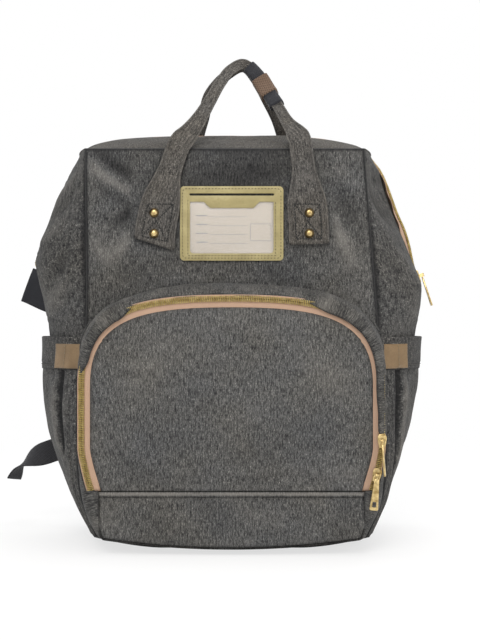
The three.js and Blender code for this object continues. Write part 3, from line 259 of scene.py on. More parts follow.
def measured(points: Sequence[Flat]) -> list[float]:
    """Returns the running length along flat points.

    Args:
        points: The line's points.

    Returns:
        The running length at each point.
    """
    run = [0.0]
    for (xa, za), (xb, zb) in zip(points, points[1:]):
        run.append(run[-1] + math.hypot(xb - xa, zb - za))
    return run


def spread(points: Sequence[Flat], count: int) -> list[Flat]:
    """Spaces points evenly along a flat line.

    Args:
        points: The line.
        count: How many points to return.

    Returns:
        The evenly spaced points, with the line's own ends.
    """
    run = measured(points)
    even = []
    i = 0
    for k in range(count):
        goal = run[-1] * k / (count - 1)
        while i < len(run) - 2 and run[i + 1] < goal:
            i += 1
        t = (goal - run[i]) / (run[i + 1] - run[i] or 1.0)
        (xa, za), (xb, zb) = points[i], points[i + 1]
        even.append((lerp(xa, xb, t), lerp(za, zb, t)))
    return even


# --- Shader graphs ---


def colour(red: int, green: int, blue: int) -> Tint:
    """Returns a display colour from 0 to 255 as a scene colour.

    Args:
        red: Red, 0 to 255.
        green: Green, 0 to 255.
        blue: Blue, 0 to 255.

    Returns:
        The same colour in linear values, with full alpha.
    """
    linear = []
    for value in (red, green, blue):
        share = value / 255
        linear.append(share / 12.92 if share <= 0.04045 else ((share + 0.055) / 1.055) ** 2.4)
    return (*linear, 1.0)


def scaled(shade: Tint, share: float) -> Tint:
    """Returns a colour made paler or darker by a share."""
    return (*(share * part for part in shade[:3]), 1.0)


@dataclass(frozen=True)
class Graph:
    """Short ways to add and join the nodes of one shader tree."""

    tree: NodeTree

    def feed(self, node: Node, inputs: dict) -> None:
        """Sets or joins a node's sockets.

        Args:
            node: The node.
            inputs: Socket name or number to a value, or to a socket to join.
        """
        for key, value in inputs.items():
            if isinstance(value, NodeSocket):
                self.tree.links.new(value, node.inputs[key])
            else:
                node.inputs[key].default_value = value

    def add(self, kind: str, inputs: dict | None = None, **settings) -> Node:
        """Adds a node.

        Args:
            kind: The node's type name.
            inputs: Socket name or number to a value, or to a socket to join.
            **settings: The node's own properties.

        Returns:
            The new node.
        """
        node = self.tree.nodes.new(kind)
        for key, value in settings.items():
            setattr(node, key, value)
        self.feed(node, inputs or {})
        return node

    def own_place(self) -> NodeSocket:
        """Returns the piece's own coordinates."""
        return self.add("ShaderNodeTexCoord").outputs["Object"]

    def cloth_place(self) -> NodeSocket:
        """Returns the place on the laid cloth."""
        return self.add("ShaderNodeUVMap", uv_map=CLOTH_MAP).outputs[0]

    def math(self, operation: str, *values) -> NodeSocket:
        """Returns the result of a math node on one to three values."""
        return self.add("ShaderNodeMath", dict(enumerate(values)), operation=operation).outputs[0]

    def scaled(self, vector: NodeSocket, scale: Point) -> NodeSocket:
        """Returns a vector scaled along each axis."""
        return self.add("ShaderNodeVectorMath", {0: vector, 1: scale}, operation="MULTIPLY").outputs[0]

    def noise(
        self, vector: NodeSocket, scale: float, detail: float = 2.0, rough: float = 0.5
    ) -> NodeSocket:
        """Returns the value of a noise texture."""
        inputs = {"Vector": vector, "Scale": scale, "Detail": detail, "Roughness": rough}
        return self.add("ShaderNodeTexNoise", inputs).outputs[0]

    def band(self, value: NodeSocket, low: float, high: float) -> NodeSocket:
        """Returns a value stretched so that low to high becomes 0 to 1."""
        return self.add("ShaderNodeMapRange", {"Value": value, "From Min": low, "From Max": high}).outputs[0]

    def raised(self, height: NodeSocket, depth: float, strength: float) -> NodeSocket:
        """Returns the normal of a surface raised by a height, in metres of depth."""
        return self.add("ShaderNodeBump", {"Height": height, "Distance": depth, "Strength": strength}).outputs[0]

    def mix(self, share, a, b, blend: str = "MIX") -> NodeSocket:
        """Returns a mix of two colours."""
        return self.add("ShaderNodeMix", data_type="RGBA", blend_type=blend, inputs={0: share, 6: a, 7: b}).outputs[2]


class Socket(Enum):
    """The kinds of value that an effect takes or gives."""

    VALUE = "NodeSocketFloat"
    COLOUR = "NodeSocketColor"
    VECTOR = "NodeSocketVector"


@dataclass(frozen=True)
class Effect:
    """A shader node group that several materials share; draw turns what it takes into what it gives."""

    name: str
    takes: dict[str, Socket]
    gives: dict[str, Socket]
    draw: Callable[[Graph, dict], dict]

    def tree(self) -> NodeTree:
        """Returns the group, made on its first use.

        Returns:
            The node group.
        """
        if self.name in bpy.data.node_groups:
            return bpy.data.node_groups[self.name]
        tree = bpy.data.node_groups.new(self.name, "ShaderNodeTree")
        for way, sockets in (("INPUT", self.takes), ("OUTPUT", self.gives)):
            for label, kind in sockets.items():
                tree.interface.new_socket(name=label, in_out=way, socket_type=kind.value)
        graph = Graph(tree)
        graph.add("NodeGroupOutput", self.draw(graph, graph.add("NodeGroupInput").outputs))
        return tree

    def place(self, graph: Graph, inputs: dict) -> NodeOutputs:
        """Puts the effect in a material.

        Args:
            graph: The material's graph.
            inputs: Values or sockets by input name.

        Returns:
            The effect's outputs.
        """
        return graph.add("ShaderNodeGroup", inputs, node_tree=self.tree()).outputs


def draw_heather(graph: Graph, take: dict) -> dict:
    """Draws short pale and dark streaks of mixed yarn, drifting between a painted cool shade tint and a painted warm
    light tint.

    Args:
        graph: The graph to draw in.
        take: The group's inputs by name.

    Returns:
        The yarn's colour and its unevenness.
    """
    place = take["Place"]
    yarn = graph.noise(graph.scaled(place, (1250.0, 330.0, 1.0)), 1.0, 2.0, 0.7)
    slub = graph.noise(graph.scaled(place, (640.0, 120.0, 1.0)), 1.0, 1.0)
    fleck = graph.noise(graph.scaled(place, (1700.0, 620.0, 1.0)), 1.0, 1.0)
    drift = graph.noise(place, 14.0, 2.0)
    both = graph.math("ADD", graph.math("MULTIPLY", yarn, 0.62), graph.math("MULTIPLY", slub, 0.38))
    share = graph.band(both, 0.37, 0.64)
    pale = graph.mix(graph.band(fleck, 0.52, 0.78), take["Pale"], take["Fleck"])
    base = graph.mix(share, take["Dark"], pale)
    # painted light tint: random patches of cool shade and of warm lit cloth
    toned = graph.mix(graph.band(drift, 0.3, 0.7), take["Cool"], take["Warm"])
    return {"Colour": graph.mix(take["Tone"], base, toned, "SOFT_LIGHT"), "Yarn": both}


HEATHER = Effect(
    "heathered yarn",
    {
        "Place": Socket.VECTOR,
        **dict.fromkeys(("Pale", "Fleck", "Dark", "Cool", "Warm"), Socket.COLOUR),
        "Tone": Socket.VALUE,
    },
    {"Colour": Socket.COLOUR, "Yarn": Socket.VALUE},
    draw_heather,
)


def draw_weave(graph: Graph, take: dict) -> dict:
    """Draws the rise and fall of crossing threads.

    Args:
        graph: The graph to draw in.
        take: The group's inputs by name.

    Returns:
        The threads' height.
    """
    parts = graph.add("ShaderNodeSeparateXYZ", {0: take["Place"]}).outputs
    across = graph.math("SINE", graph.math("MULTIPLY", parts[0], take["Warp"]))
    along = graph.math("SINE", graph.math("MULTIPLY", parts[1], take["Weft"]))
    woven = graph.math("MULTIPLY_ADD", graph.math("MULTIPLY", across, along), 0.5, 0.5)
    uneven = graph.noise(take["Place"], 700.0, 2.0)
    return {"Height": graph.math("MULTIPLY_ADD", uneven, 0.4, woven)}


WEAVE = Effect(
    "woven threads",
    {"Place": Socket.VECTOR, "Warp": Socket.VALUE, "Weft": Socket.VALUE},
    {"Height": Socket.VALUE},
    draw_weave,
)


def draw_grain(graph: Graph, take: dict) -> dict:
    """Draws the pebbles and pores of pressed leather.

    Args:
        graph: The graph to draw in.
        take: The group's inputs by name.

    Returns:
        The grain's height and its broad patches.
    """
    inputs = {"Vector": take["Place"], "Scale": take["Pebbles"]}
    pebble = graph.add("ShaderNodeTexVoronoi", inputs, feature="SMOOTH_F1").outputs[0]
    pores = graph.noise(take["Place"], 2600.0, 3.0)
    height = graph.math("ADD", graph.math("MULTIPLY", pebble, -0.8), graph.math("MULTIPLY", pores, 0.35))
    return {"Height": height, "Patches": graph.noise(take["Place"], 60.0, 3.0)}


GRAIN = Effect(
    "pressed grain",
    {"Place": Socket.VECTOR, "Pebbles": Socket.VALUE},
    {"Height": Socket.VALUE, "Patches": Socket.VALUE},
    draw_grain,
)


def draw_fold_lighting(graph: Graph, take: dict) -> dict:
    """Paints highlight on the ridges of folds and shade in their creases and seams.

    Args:
        graph: The graph to draw in.
        take: The group's inputs by name.

    Returns:
        The colour with its painted highlight and shade.
    """
    fold = graph.add("ShaderNodeAttribute", attribute_name=FOLD_SHADE).outputs["Fac"]
    highlit = graph.band(fold, 0.5, 1.0)
    creased = graph.band(fold, 0.5, 0.0)
    lit = graph.mix(graph.math("MULTIPLY", highlit, take["Highlight"]), take["Colour"], take["Pale"])
    return {"Colour": graph.mix(graph.math("MULTIPLY", creased, take["Crease"]), lit, take["Deep"])}


# painted highlight and shade on folds and in seams, read from the fold shade attribute
FOLD_LIGHTING = Effect(
    "rubbed folds",
    {
        **dict.fromkeys(("Colour", "Pale", "Deep"), Socket.COLOUR),
        **dict.fromkeys(("Highlight", "Crease"), Socket.VALUE),
    },
    {"Colour": Socket.COLOUR},
    draw_fold_lighting,
)


# --- Finishes ---


@dataclass(frozen=True)
class Finish:
    """A surface finish: the record's slot and the material that shows it."""

    name: str
    slot: str

    def material(self) -> Material:
        """Returns the material, made on its first use.

        Returns:
            The material.
        """
        if self.name in bpy.data.materials:
            return bpy.data.materials[self.name]
        material = bpy.data.materials.new(self.name)
        material.use_nodes = True
        material.node_tree.nodes.clear()
        graph = Graph(material.node_tree)
        shader = graph.add("ShaderNodeBsdfPrincipled")
        graph.add("ShaderNodeOutputMaterial", {0: shader.outputs[0]})
        graph.feed(shader, {key.replace("_", " "): value for key, value in self.draw(graph).items()})
        return material

    def draw(self, graph: Graph) -> dict:
        """Returns what the Principled shader's sockets get, with underscores for spaces in their names."""
        raise NotImplementedError


@dataclass(frozen=True)
class Heather(Finish):
    """Heathered polyester: pale and dark yarn over a fine weave."""

    pale: Tint = colour(112, 112, 110)
    fleck: Tint = colour(176, 173, 167)
    dark: Tint = colour(40, 40, 41)
    # cool and warm are painted tints of shade and of lit cloth, mixed in by the tone share
    cool: Tint = colour(112, 118, 130)
    warm: Tint = colour(136, 131, 122)
    tone: float = 0.55
    # share of painted highlight on fold ridges, then share of painted shade in creases
    highlight_share: float = 0.4
    crease: float = 0.88
    threads: float = 9000.0

    def draw(self, graph: Graph) -> dict:
        """Draws yarn, weave and the painted highlight and shade of the folds.

        Args:
            graph: The graph to draw in.

        Returns:
            Values and sockets for the shader.
        """
        place = graph.cloth_place()
        shades = {key: getattr(self, key.lower()) for key in ("Pale", "Fleck", "Dark", "Cool", "Warm", "Tone")}
        yarn = HEATHER.place(graph, {"Place": place, **shades})
        weave = WEAVE.place(graph, {"Place": place, "Warp": self.threads, "Weft": self.threads})
        # painted highlight colour for fold ridges and painted shade colour for creases
        tones = {"Colour": yarn["Colour"], "Pale": colour(146, 142, 136), "Deep": colour(16, 16, 18)}
        soil_and_shade = FOLD_LIGHTING.place(graph, {**tones, "Highlight": self.highlight_share, "Crease": self.crease})
        height = graph.math("ADD", graph.math("MULTIPLY", yarn["Yarn"], 1.6), weave["Height"])
        rough = graph.math("MULTIPLY_ADD", yarn["Yarn"], 0.2, 0.78)
        return dict(
            Base_Color=soil_and_shade["Colour"],
            Roughness=rough,
            Normal=graph.raised(height, 0.00022, 0.7),
            Sheen_Weight=0.06,
            Sheen_Roughness=0.5,
            Specular_IOR_Level=0.2,
        )


@dataclass(frozen=True)
class Woven(Finish):
    """Plain dyed cloth or webbing, its ribs running across its length."""

    base: Tint = colour(52, 50, 50)
    # the rib colour is a painted highlight on rib crowns and on fold ridges
    rib: Tint = colour(78, 74, 72)
    warp: float = 5200.0
    weft: float = 4200.0
    depth: float = 0.0003
    sheen: float = 0.15

    def draw(self, graph: Graph) -> dict:
        """Draws ribs with paler crowns, a painted highlight, and small soiling, then the painted highlight and shade of
        the folds.

        Args:
            graph: The graph to draw in.

        Returns:
            Values and sockets for the shader.
        """
        place = graph.cloth_place()
        weave = WEAVE.place(graph, {"Place": place, "Warp": self.warp, "Weft": self.weft})["Height"]
        soil = graph.band(graph.noise(place, 45.0, 3.0), 0.35, 0.75)
        # paler rib crowns: a painted highlight
        tone = graph.mix(graph.band(weave, 0.35, 1.15), self.base, self.rib)
        soil_and_shade = graph.mix(graph.math("MULTIPLY", soil, 0.22), tone, self.base)
        # the rib colour as painted highlight on fold ridges, a near black as painted shade in creases
        tones = {"Colour": soil_and_shade, "Pale": self.rib, "Deep": colour(14, 13, 13)}
        shade = FOLD_LIGHTING.place(graph, {**tones, "Highlight": 0.4, "Crease": 0.7})
        return dict(
            Base_Color=shade["Colour"],
            Roughness=graph.math("MULTIPLY_ADD", soil, 0.14, 0.72),
            Normal=graph.raised(weave, self.depth, 0.8),
            Sheen_Weight=self.sheen,
            Sheen_Roughness=0.4,
            Specular_IOR_Level=0.25,
        )


@dataclass(frozen=True)
class Grained(Finish):
    """Faux leather: a pressed grain with a soft shine, paler on its high spots and darker in its hollows."""

    base: Tint = colour(158, 147, 103)
    deep: Tint = colour(134, 123, 82)
    pebbles: float = 1300.0

    def draw(self, graph: Graph) -> dict:
        """Draws the grain on the piece's own coordinates.

        Args:
            graph: The graph to draw in.

        Returns:
            Values and sockets for the shader.
        """
        place = graph.own_place()
        grain = GRAIN.place(graph, {"Place": place, "Pebbles": self.pebbles})
        tone = graph.mix(graph.band(grain["Patches"], 0.35, 0.7), self.base, self.deep)
        return dict(
            Base_Color=graph.mix(graph.band(grain["Height"], -0.1, -0.55), tone, self.deep),
            Roughness=graph.math("MULTIPLY_ADD", grain["Patches"], 0.2, 0.38),
            Normal=graph.raised(grain["Height"], 0.00016, 0.6),
            Specular_IOR_Level=0.4,
        )


@dataclass(frozen=True)
class Metal(Finish):
    """Plated zinc alloy: a polished gold with fine scratches."""

    base: Tint = colour(212, 190, 138)
    dull: Tint = colour(150, 126, 80)
    rough: float = 0.22

    def draw(self, graph: Graph) -> dict:
        """Draws scratches and fingered patches.

        Args:
            graph: The graph to draw in.

        Returns:
            Values and sockets for the shader.
        """
        place = graph.own_place()
        scratch = graph.noise(graph.scaled(place, (2600.0, 2600.0, 240.0)), 1.0, 3.0)
        patch = graph.band(graph.noise(place, 260.0, 2.0), 0.35, 0.7)
        return dict(
            Base_Color=graph.mix(patch, self.base, self.dull),
            Metallic=1.0,
            Roughness=graph.math("MULTIPLY_ADD", scratch, 0.24, self.rough),
            Normal=graph.raised(scratch, 0.00003, 0.4),
        )


@dataclass(frozen=True)
class Moulded(Finish):
    """Moulded plastic with a fine spark-eroded texture."""

    base: Tint = colour(32, 32, 34)
    rough: float = 0.45

    def draw(self, graph: Graph) -> dict:
        """Draws the fine texture and its shine.

        Args:
            graph: The graph to draw in.

        Returns:
            Values and sockets for the shader.
        """
        place = graph.own_place()
        fine = graph.noise(place, 3200.0, 2.0)
        patch = graph.noise(place, 90.0, 2.0)
        tone = graph.mix(patch, self.base, scaled(self.base, 1.5))
        return dict(
            Base_Color=tone,
            Roughness=graph.math("MULTIPLY_ADD", patch, 0.2, self.rough - 0.1),
            Normal=graph.raised(fine, 0.00004, 0.5),
        )


@dataclass(frozen=True)
class Card(Finish):
    """Pale card with a faint fibre."""

    base: Tint = colour(152, 137, 115)

    def draw(self, graph: Graph) -> dict:
        """Draws fibre and a slight warmth.

        Args:
            graph: The graph to draw in.

        Returns:
            Values and sockets for the shader.
        """
        place = graph.own_place()
        fibre = graph.noise(graph.scaled(place, (900.0, 900.0, 300.0)), 1.0, 3.0)
        tone = graph.mix(graph.band(fibre, 0.3, 0.7), self.base, scaled(self.base, 0.93))
        return dict(Base_Color=tone, Roughness=graph.math("MULTIPLY_ADD", fibre, 0.1, 0.6))


@dataclass(frozen=True)
class Film(Finish):
    """Thin clear film, glossy and slightly rippled."""

    def draw(self, graph: Graph) -> dict:
        """Draws the clear film and its ripples.

        Args:
            graph: The graph to draw in.

        Returns:
            Values and sockets for the shader.
        """
        place = graph.own_place()
        wave = graph.noise(place, 55.0, 2.0)
        return dict(
            Base_Color=(0.93, 0.93, 0.92, 1.0),
            Alpha=0.16,
            Roughness=graph.math("MULTIPLY_ADD", wave, 0.1, 0.1),
            Normal=graph.raised(wave, 0.0006, 0.5),
        )


def thread(name: str, slot: str, base: Tint, rib: Tint) -> Woven:
    """Returns a sewing thread, its strands fine and close."""
    return Woven(name, slot, base, rib, 9000.0, 9000.0)


BODY = Heather("heathered body cloth", "cloth")
# painted shade: darker copies of the body cloth for the sides, the lid, the hem and the handles, toned for how the
# light falls on them
SHADED_SIDE_CLOTH = Heather(
    "heathered side cloth", "cloth", pale=colour(98, 97, 94), fleck=colour(164, 162, 156), dark=colour(28, 28, 30)
)
SHADED_LID_CLOTH = Heather(
    "heathered lid cloth", "cloth", pale=colour(84, 80, 74), dark=colour(32, 31, 29), warm=colour(138, 130, 118)
)
SHADED_HEM_CLOTH = Heather("heathered hem", "hem", pale=colour(80, 79, 77), dark=colour(30, 30, 31))
SHADED_HANDLE_CLOTH = Heather(
    "heathered handle", "handle", pale=colour(110, 106, 100), dark=colour(42, 41, 40), warm=colour(136, 129, 118)
)
TAPE = Woven("pink tan zip tape", "zip_tape", colour(160, 132, 112), colour(188, 158, 136), 2600.0, 7000.0, sheen=0.1)
TEETH = Metal("gold zip teeth", "zip_teeth", colour(196, 178, 122), colour(150, 130, 76), 0.3)
GOLD = Metal("gold zip hardware", "gold_metal")
RIVET_SHADE_METAL = Metal("dark gold washer", "gold_metal", colour(96, 82, 58), colour(66, 56, 40), 0.4)
HOLDER = Grained("olive gold faux leather", "holder")
TAB = Grained("tan faux leather", "tab", colour(124, 102, 74), colour(104, 84, 58), 1000.0)
FILM = Film("clear film", "film")
CARD = Card("beige card", "card")
RING = Woven("brown ribbed webbing", "ring", colour(74, 59, 48), colour(114, 93, 77), 2200.0, 2200.0)
PAD = Woven("charcoal padded cloth", "dark_cloth", colour(28, 29, 33), colour(50, 51, 56), 4200.0, 4200.0)
WEBBING = Woven("black webbing", "webbing", colour(28, 28, 30), colour(58, 58, 62), 3600.0, 2400.0, 0.0004)
PLASTIC = Moulded("black moulded plastic", "plastic")
BOARD = Moulded("dark base board", "board", colour(52, 50, 48), 0.6)
WIRE = Metal("spring steel wire", "wire", colour(150, 150, 152), colour(120, 120, 122), 0.35)
INK = Moulded("printed ruling", "card", colour(70, 66, 62), 0.6)
CROSS_THREAD = thread("dark grey thread", "cloth", colour(44, 46, 46), colour(84, 86, 84))
THREAD = thread("grey thread", "cloth", colour(118, 115, 110), colour(160, 156, 150))
PALE_THREAD = thread("pale thread", "tab", colour(196, 180, 150), colour(228, 214, 188))
DARK_THREAD = thread("dark thread", "holder", colour(66, 56, 34), colour(96, 84, 54))


# --- Making pieces ---


def place_piece(name: str, mesh: bmesh.types.BMesh, finish: Finish, soft: bool = True) -> Object:
    """Turns finished geometry into a piece of the scene.

    Args:
        name: The piece's name.
        mesh: Its geometry, in metres.
        finish: Its finish.
        soft: Whether its faces are shaded smooth.

    Returns:
        The new object.
    """
    data = bpy.data.meshes.new(name)
    mesh.to_mesh(data)
    mesh.free()
    for face in data.polygons:
        face.use_smooth = soft
    data.materials.append(finish.material())
    piece = bpy.data.objects.new(name.replace(" ", "-"), data)
    bpy.context.scene.collection.objects.link(piece)
    return piece


def face_weave(point: Point, u: float, v: float) -> Flat:
    """Lays the yarn upright on cloth that faces the front or the back."""
    return point[0], point[2]


def side_weave(point: Point, u: float, v: float) -> Flat:
    """Lays the yarn upright on cloth that faces a side."""
    return point[1] * 0.6, point[2]


def top_weave(point: Point, u: float, v: float) -> Flat:
    """Lays the yarn front to back on cloth that faces up or down."""
    return point[0], point[1] * 1.2


@dataclass
class Cloth:
    """Cloth laid on a surface, as a grid with a thickness."""

    name: str
    columns: int
    rows: int
    finish: Finish
    facing: Point
    weave: Weave = face_weave
    thickness: float = 1.6
    closed: bool = False

    def lay(self, surface: Surface, shade: Shade | None = None) -> Object:
        """Lays the cloth.

        Args:
            surface: The place in millimetres of each share across and along.
            shade: Painted shade, from 0 in a crease to 1 on a highlit ridge; 0.5 is plain.

        Returns:
            The piece, with its wall as a live modifier.
        """
        mesh = bmesh.new()
        bmesh.ops.create_grid(mesh, x_segments=self.columns, y_segments=self.rows, size=0.5)
        woven = mesh.loops.layers.uv.new(CLOTH_MAP)
        soil_and_shade = mesh.verts.layers.float.new(FOLD_SHADE)
        grid = {vert: (vert.co.x + 0.5, vert.co.y + 0.5) for vert in mesh.verts}
        flat = {}
        for vert, (u, v) in grid.items():
            point = surface(u, v)
            flat[vert] = self.weave(point, u, v)
            vert[soil_and_shade] = shade(u, v) if shade else 0.5
            vert.co = Vector(point) * MM
        for face in mesh.faces:
            for loop in face.loops:
                a, b = flat[loop.vert]
                loop[woven].uv = (a * MM, b * MM)
        mesh.normal_update()
        toward = sum((face.normal * face.calc_area() for face in mesh.faces), Vector())
        if self.closed:
            bmesh.ops.remove_doubles(mesh, verts=mesh.verts, dist=1e-6)
        if toward.dot(Vector(self.facing)) < 0:
            bmesh.ops.reverse_faces(mesh, faces=mesh.faces)
        piece = place_piece(self.name, mesh, self.finish)
        wall = piece.modifiers.new("wall", "SOLIDIFY")
        wall.thickness = self.thickness * MM
        wall.offset = -1.0
        wall.use_even_offset = False
        return piece


@dataclass
class Band:
    """A closed strap of rounded section along a route."""

    name: str
    route: Route
    finish: Finish
    width: Along
    thickness: Along
    face: Point
    steps: int = 90
    sides: int = 20
    flatness: float = 5.0
    start: float = 0.0
    end: float = 1.0
    crown: Shade = lambda t, a: 0.0
    twist: Along = fixed(0.0)

    def frame(self, share: float) -> tuple[Vector, Vector, Vector, Vector]:
        """Returns the middle, the direction across, the facing and the travel at a share."""
        middle, along = self.route.at(share)
        across = Matrix.Rotation(self.twist(share), 3, along) @ Vector(self.face).cross(along).normalized()
        return middle, across, along.cross(across).normalized(), along

    def section(self, share: float, turn: float) -> Vector:
        """Returns a point of the outside, at a share of the length and of the turn.

        Args:
            share: Share of the length.
            turn: Share of the turn round the section.

        Returns:
            The point, in millimetres.
        """
        middle, across, facing, _ = self.frame(share)
        angle = turn * 2 * math.pi
        c, s = math.cos(angle), math.sin(angle)
        power = 2 / self.flatness
        u = math.copysign(abs(c) ** power, c) * self.width(share) / 2
        v = math.copysign(abs(s) ** power, s) * self.thickness(share) / 2
        puff = self.crown(share, u) * (1 if s > 0 else -1) * min(1.0, abs(s) * 1.5)
        return middle + across * u + facing * (v + puff)

    def make(self, shade: Shade | None = None) -> Object:
        """Makes the strap, closed round and at both ends.

        Args:
            shade: From 0 in a crease to 1 on a ridge, by share of length and turn.

        Returns:
            The piece.
        """
        mesh = bmesh.new()
        bmesh.ops.create_grid(mesh, x_segments=self.sides, y_segments=self.steps, size=0.5)
        woven = mesh.loops.layers.uv.new(CLOTH_MAP)
        soil_and_shade = mesh.verts.layers.float.new(FOLD_SHADE)
        flat = {}
        for vert in mesh.verts:
            turn, along = vert.co.x + 0.5, vert.co.y + 0.5
            share = lerp(self.start, self.end, along)
            angle = turn * 2 * math.pi
            girth = math.copysign(abs(math.cos(angle)) ** 0.4, math.cos(angle)) * self.width(share) / 2
            flat[vert] = (girth * MM, share * self.route.length * MM)
            vert[soil_and_shade] = shade(share, turn) if shade else 0.5
            vert.co = self.section(share, turn) * MM
        for face in mesh.faces:
            for loop in face.loops:
                loop[woven].uv = flat[loop.vert]
        bmesh.ops.remove_doubles(mesh, verts=mesh.verts, dist=1e-7)
        bmesh.ops.holes_fill(mesh, edges=[edge for edge in mesh.edges if edge.is_boundary], sides=0)
        bmesh.ops.recalc_face_normals(mesh, faces=mesh.faces)
        return place_piece(self.name, mesh, self.finish)


def paced(points: Sequence[Vector], first: float, pitch: float, spare: float = 0.0) -> list[tuple[Vector, Vector]]:
    """Walks along a line in even steps.

    Args:
        points: The line, in millimetres.
        first: Distance of the first stop from the line's start.
        pitch: Distance between two stops.
        spare: Length left free at the line's end.

    Returns:
        The place of each stop and the line's run there.
    """
    run = [0.0]
    for a, b in zip(points, points[1:]):
        run.append(run[-1] + (b - a).length)
    stops = []
    i = 0
    goal = first
    while goal < run[-1] - spare:
        while run[i + 1] < goal:
            i += 1
        a, b = points[i], points[i + 1]
        stops.append((a.lerp(b, (goal - run[i]) / max(run[i + 1] - run[i], 1e-6)), b - a))
        goal += pitch
    return stops


def sew_along(points: Sequence[Vector], facing: Vector, length: float, gap: float) -> Places:
    """Spaces stitches along a line, each with its middle, its run and its facing."""
    half = length / 2
    return [(middle, along, facing) for middle, along in paced(points, half, length + gap, half)]


def chain_row(points: Sequence[Vector], facing: Vector, phase: float, pitch: float = 1.7) -> Places:
    """Spaces zip teeth along a line.

    Args:
        points: The line, in millimetres.
        facing: The way the tape faces.
        phase: Share of a pitch at which the row starts.
        pitch: Distance between teeth.

    Returns:
        The middle, the way along and the facing of each tooth.
    """
    row = []
    for middle, run in paced(points, pitch * (0.5 + phase), pitch):
        along = run.normalized()
        row.append((middle, along, (facing - along * facing.dot(along)).normalized()))
    return row


def seated(middle: Vector, *axes: Vector) -> Matrix:
    """Returns the move that gives a unit shape its three axes and its middle, both in millimetres."""
    return Matrix.Translation(middle * MM) @ Matrix.Scale(MM, 4) @ Matrix(axes).transposed().to_4x4()


def stitch(name: str, places: Places, finish: Finish, length: float, width: float) -> Object:
    """Sews a row of stitches.

    Args:
        name: The piece's name.
        places: For each stitch its middle in millimetres, its direction and the way it faces.
        finish: The thread.
        length: Length of a stitch.
        width: Thickness of the thread.

    Returns:
        One piece that holds the row.
    """
    mesh = bmesh.new()
    mesh.loops.layers.uv.new(CLOTH_MAP)
    for middle, along, facing in places:
        along = along.normalized()
        side = facing.cross(along).normalized()
        move = seated(middle, along * length / 2, side * width / 2, along.cross(side) * width / 2)
        bmesh.ops.create_icosphere(mesh, subdivisions=1, radius=1.0, matrix=move)
    return place_piece(name, mesh, finish)


def set_teeth(name: str, places: Places, size: Point) -> Object:
    """Sets a row of zip teeth, each bevelled and leaning on the tape.

    Args:
        name: The piece's name.
        places: For each tooth its middle in millimetres, the way along the zip and its facing.
        size: Across, along and out of the tape.

    Returns:
        One piece that holds the row.
    """
    mesh = bmesh.new()
    for middle, along, facing in places:
        across = facing.cross(along).normalized()
        move = seated(middle, across * size[0], along * size[1], facing * size[2])
        bmesh.ops.create_cube(mesh, size=1.0, matrix=move)
    bmesh.ops.bevel(mesh, geom=mesh.edges[:], offset=0.28 * MM, segments=1, profile=0.5, affect="EDGES", material=-1)
    return place_piece(name, mesh, TEETH, soft=False)


def dress(piece: Object, body: str, *nodes: str) -> Object:
    """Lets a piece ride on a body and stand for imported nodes.

    Args:
        piece: The piece.
        body: The body that carries it.
        *nodes: The nodes that it replaces.

    Returns:
        The piece.
    """
    if nodes:
        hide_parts(*nodes)
    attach(piece, body)
    return piece


def refined(node: str, finish: Finish, bevel: float, body: str = "bag") -> Object:
    """Makes a finer copy of a rigid node, with its edges rounded.

    Args:
        node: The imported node.
        finish: The copy's finish.
        bevel: Radius of the rounding, in millimetres.
        body: The body to ride on.

    Returns:
        The copy, which replaces the node.
    """
    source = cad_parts[node]
    mesh = bmesh.new()
    mesh.from_mesh(source.data)
    mesh.transform(source.matrix_world)
    bmesh.ops.remove_doubles(mesh, verts=mesh.verts, dist=1e-6)
    bmesh.ops.dissolve_limit(mesh, angle_limit=math.radians(2), verts=mesh.verts, edges=mesh.edges)
    edges = [e for e in mesh.edges if len(e.link_faces) == 2 and e.calc_face_angle(0.0) > math.radians(32)]
    width = bevel * MM
    bmesh.ops.bevel(
        mesh, geom=edges, offset=width, segments=2, profile=0.5, affect="EDGES", material=-1, clamp_overlap=True
    )
    bmesh.ops.recalc_face_normals(mesh, faces=mesh.faces)
    for layer in list(mesh.loops.layers.uv.values()):
        mesh.loops.layers.uv.remove(layer)
    woven = mesh.loops.layers.uv.new(CLOTH_MAP)
    for face in mesh.faces:
        for loop in face.loops:
            loop[woven].uv = (loop.vert.co.x, loop.vert.co.z)
    soil_and_shade = mesh.verts.layers.float.new(FOLD_SHADE)
    for vert in mesh.verts:
        vert[soil_and_shade] = 0.5
    piece = place_piece(node.replace("_", " "), mesh, finish)
    piece.data.set_sharp_from_angle(angle=math.radians(40))
    return dress(piece, body, node)


# --- The bag's own shape ---

BODY_TOP = 388.0
FACE = 80.0  # depth of the front and back panels from the middle
REACH = 76.7  # depth of the gussets' seams from the middle
SEAM_TURN = 1.2  # how far the gussets' cloth runs past its seams
BASE_FLAT = 70.0
BASE_RISE = 10.0
GUSSET_TOP = 384.7
HOLDER_HEIGHT = 316.0  # middle of the cloth that the name holder keeps flat
HANDLE_AT = 72.0  # middle of the cloth that each handle patch keeps flat


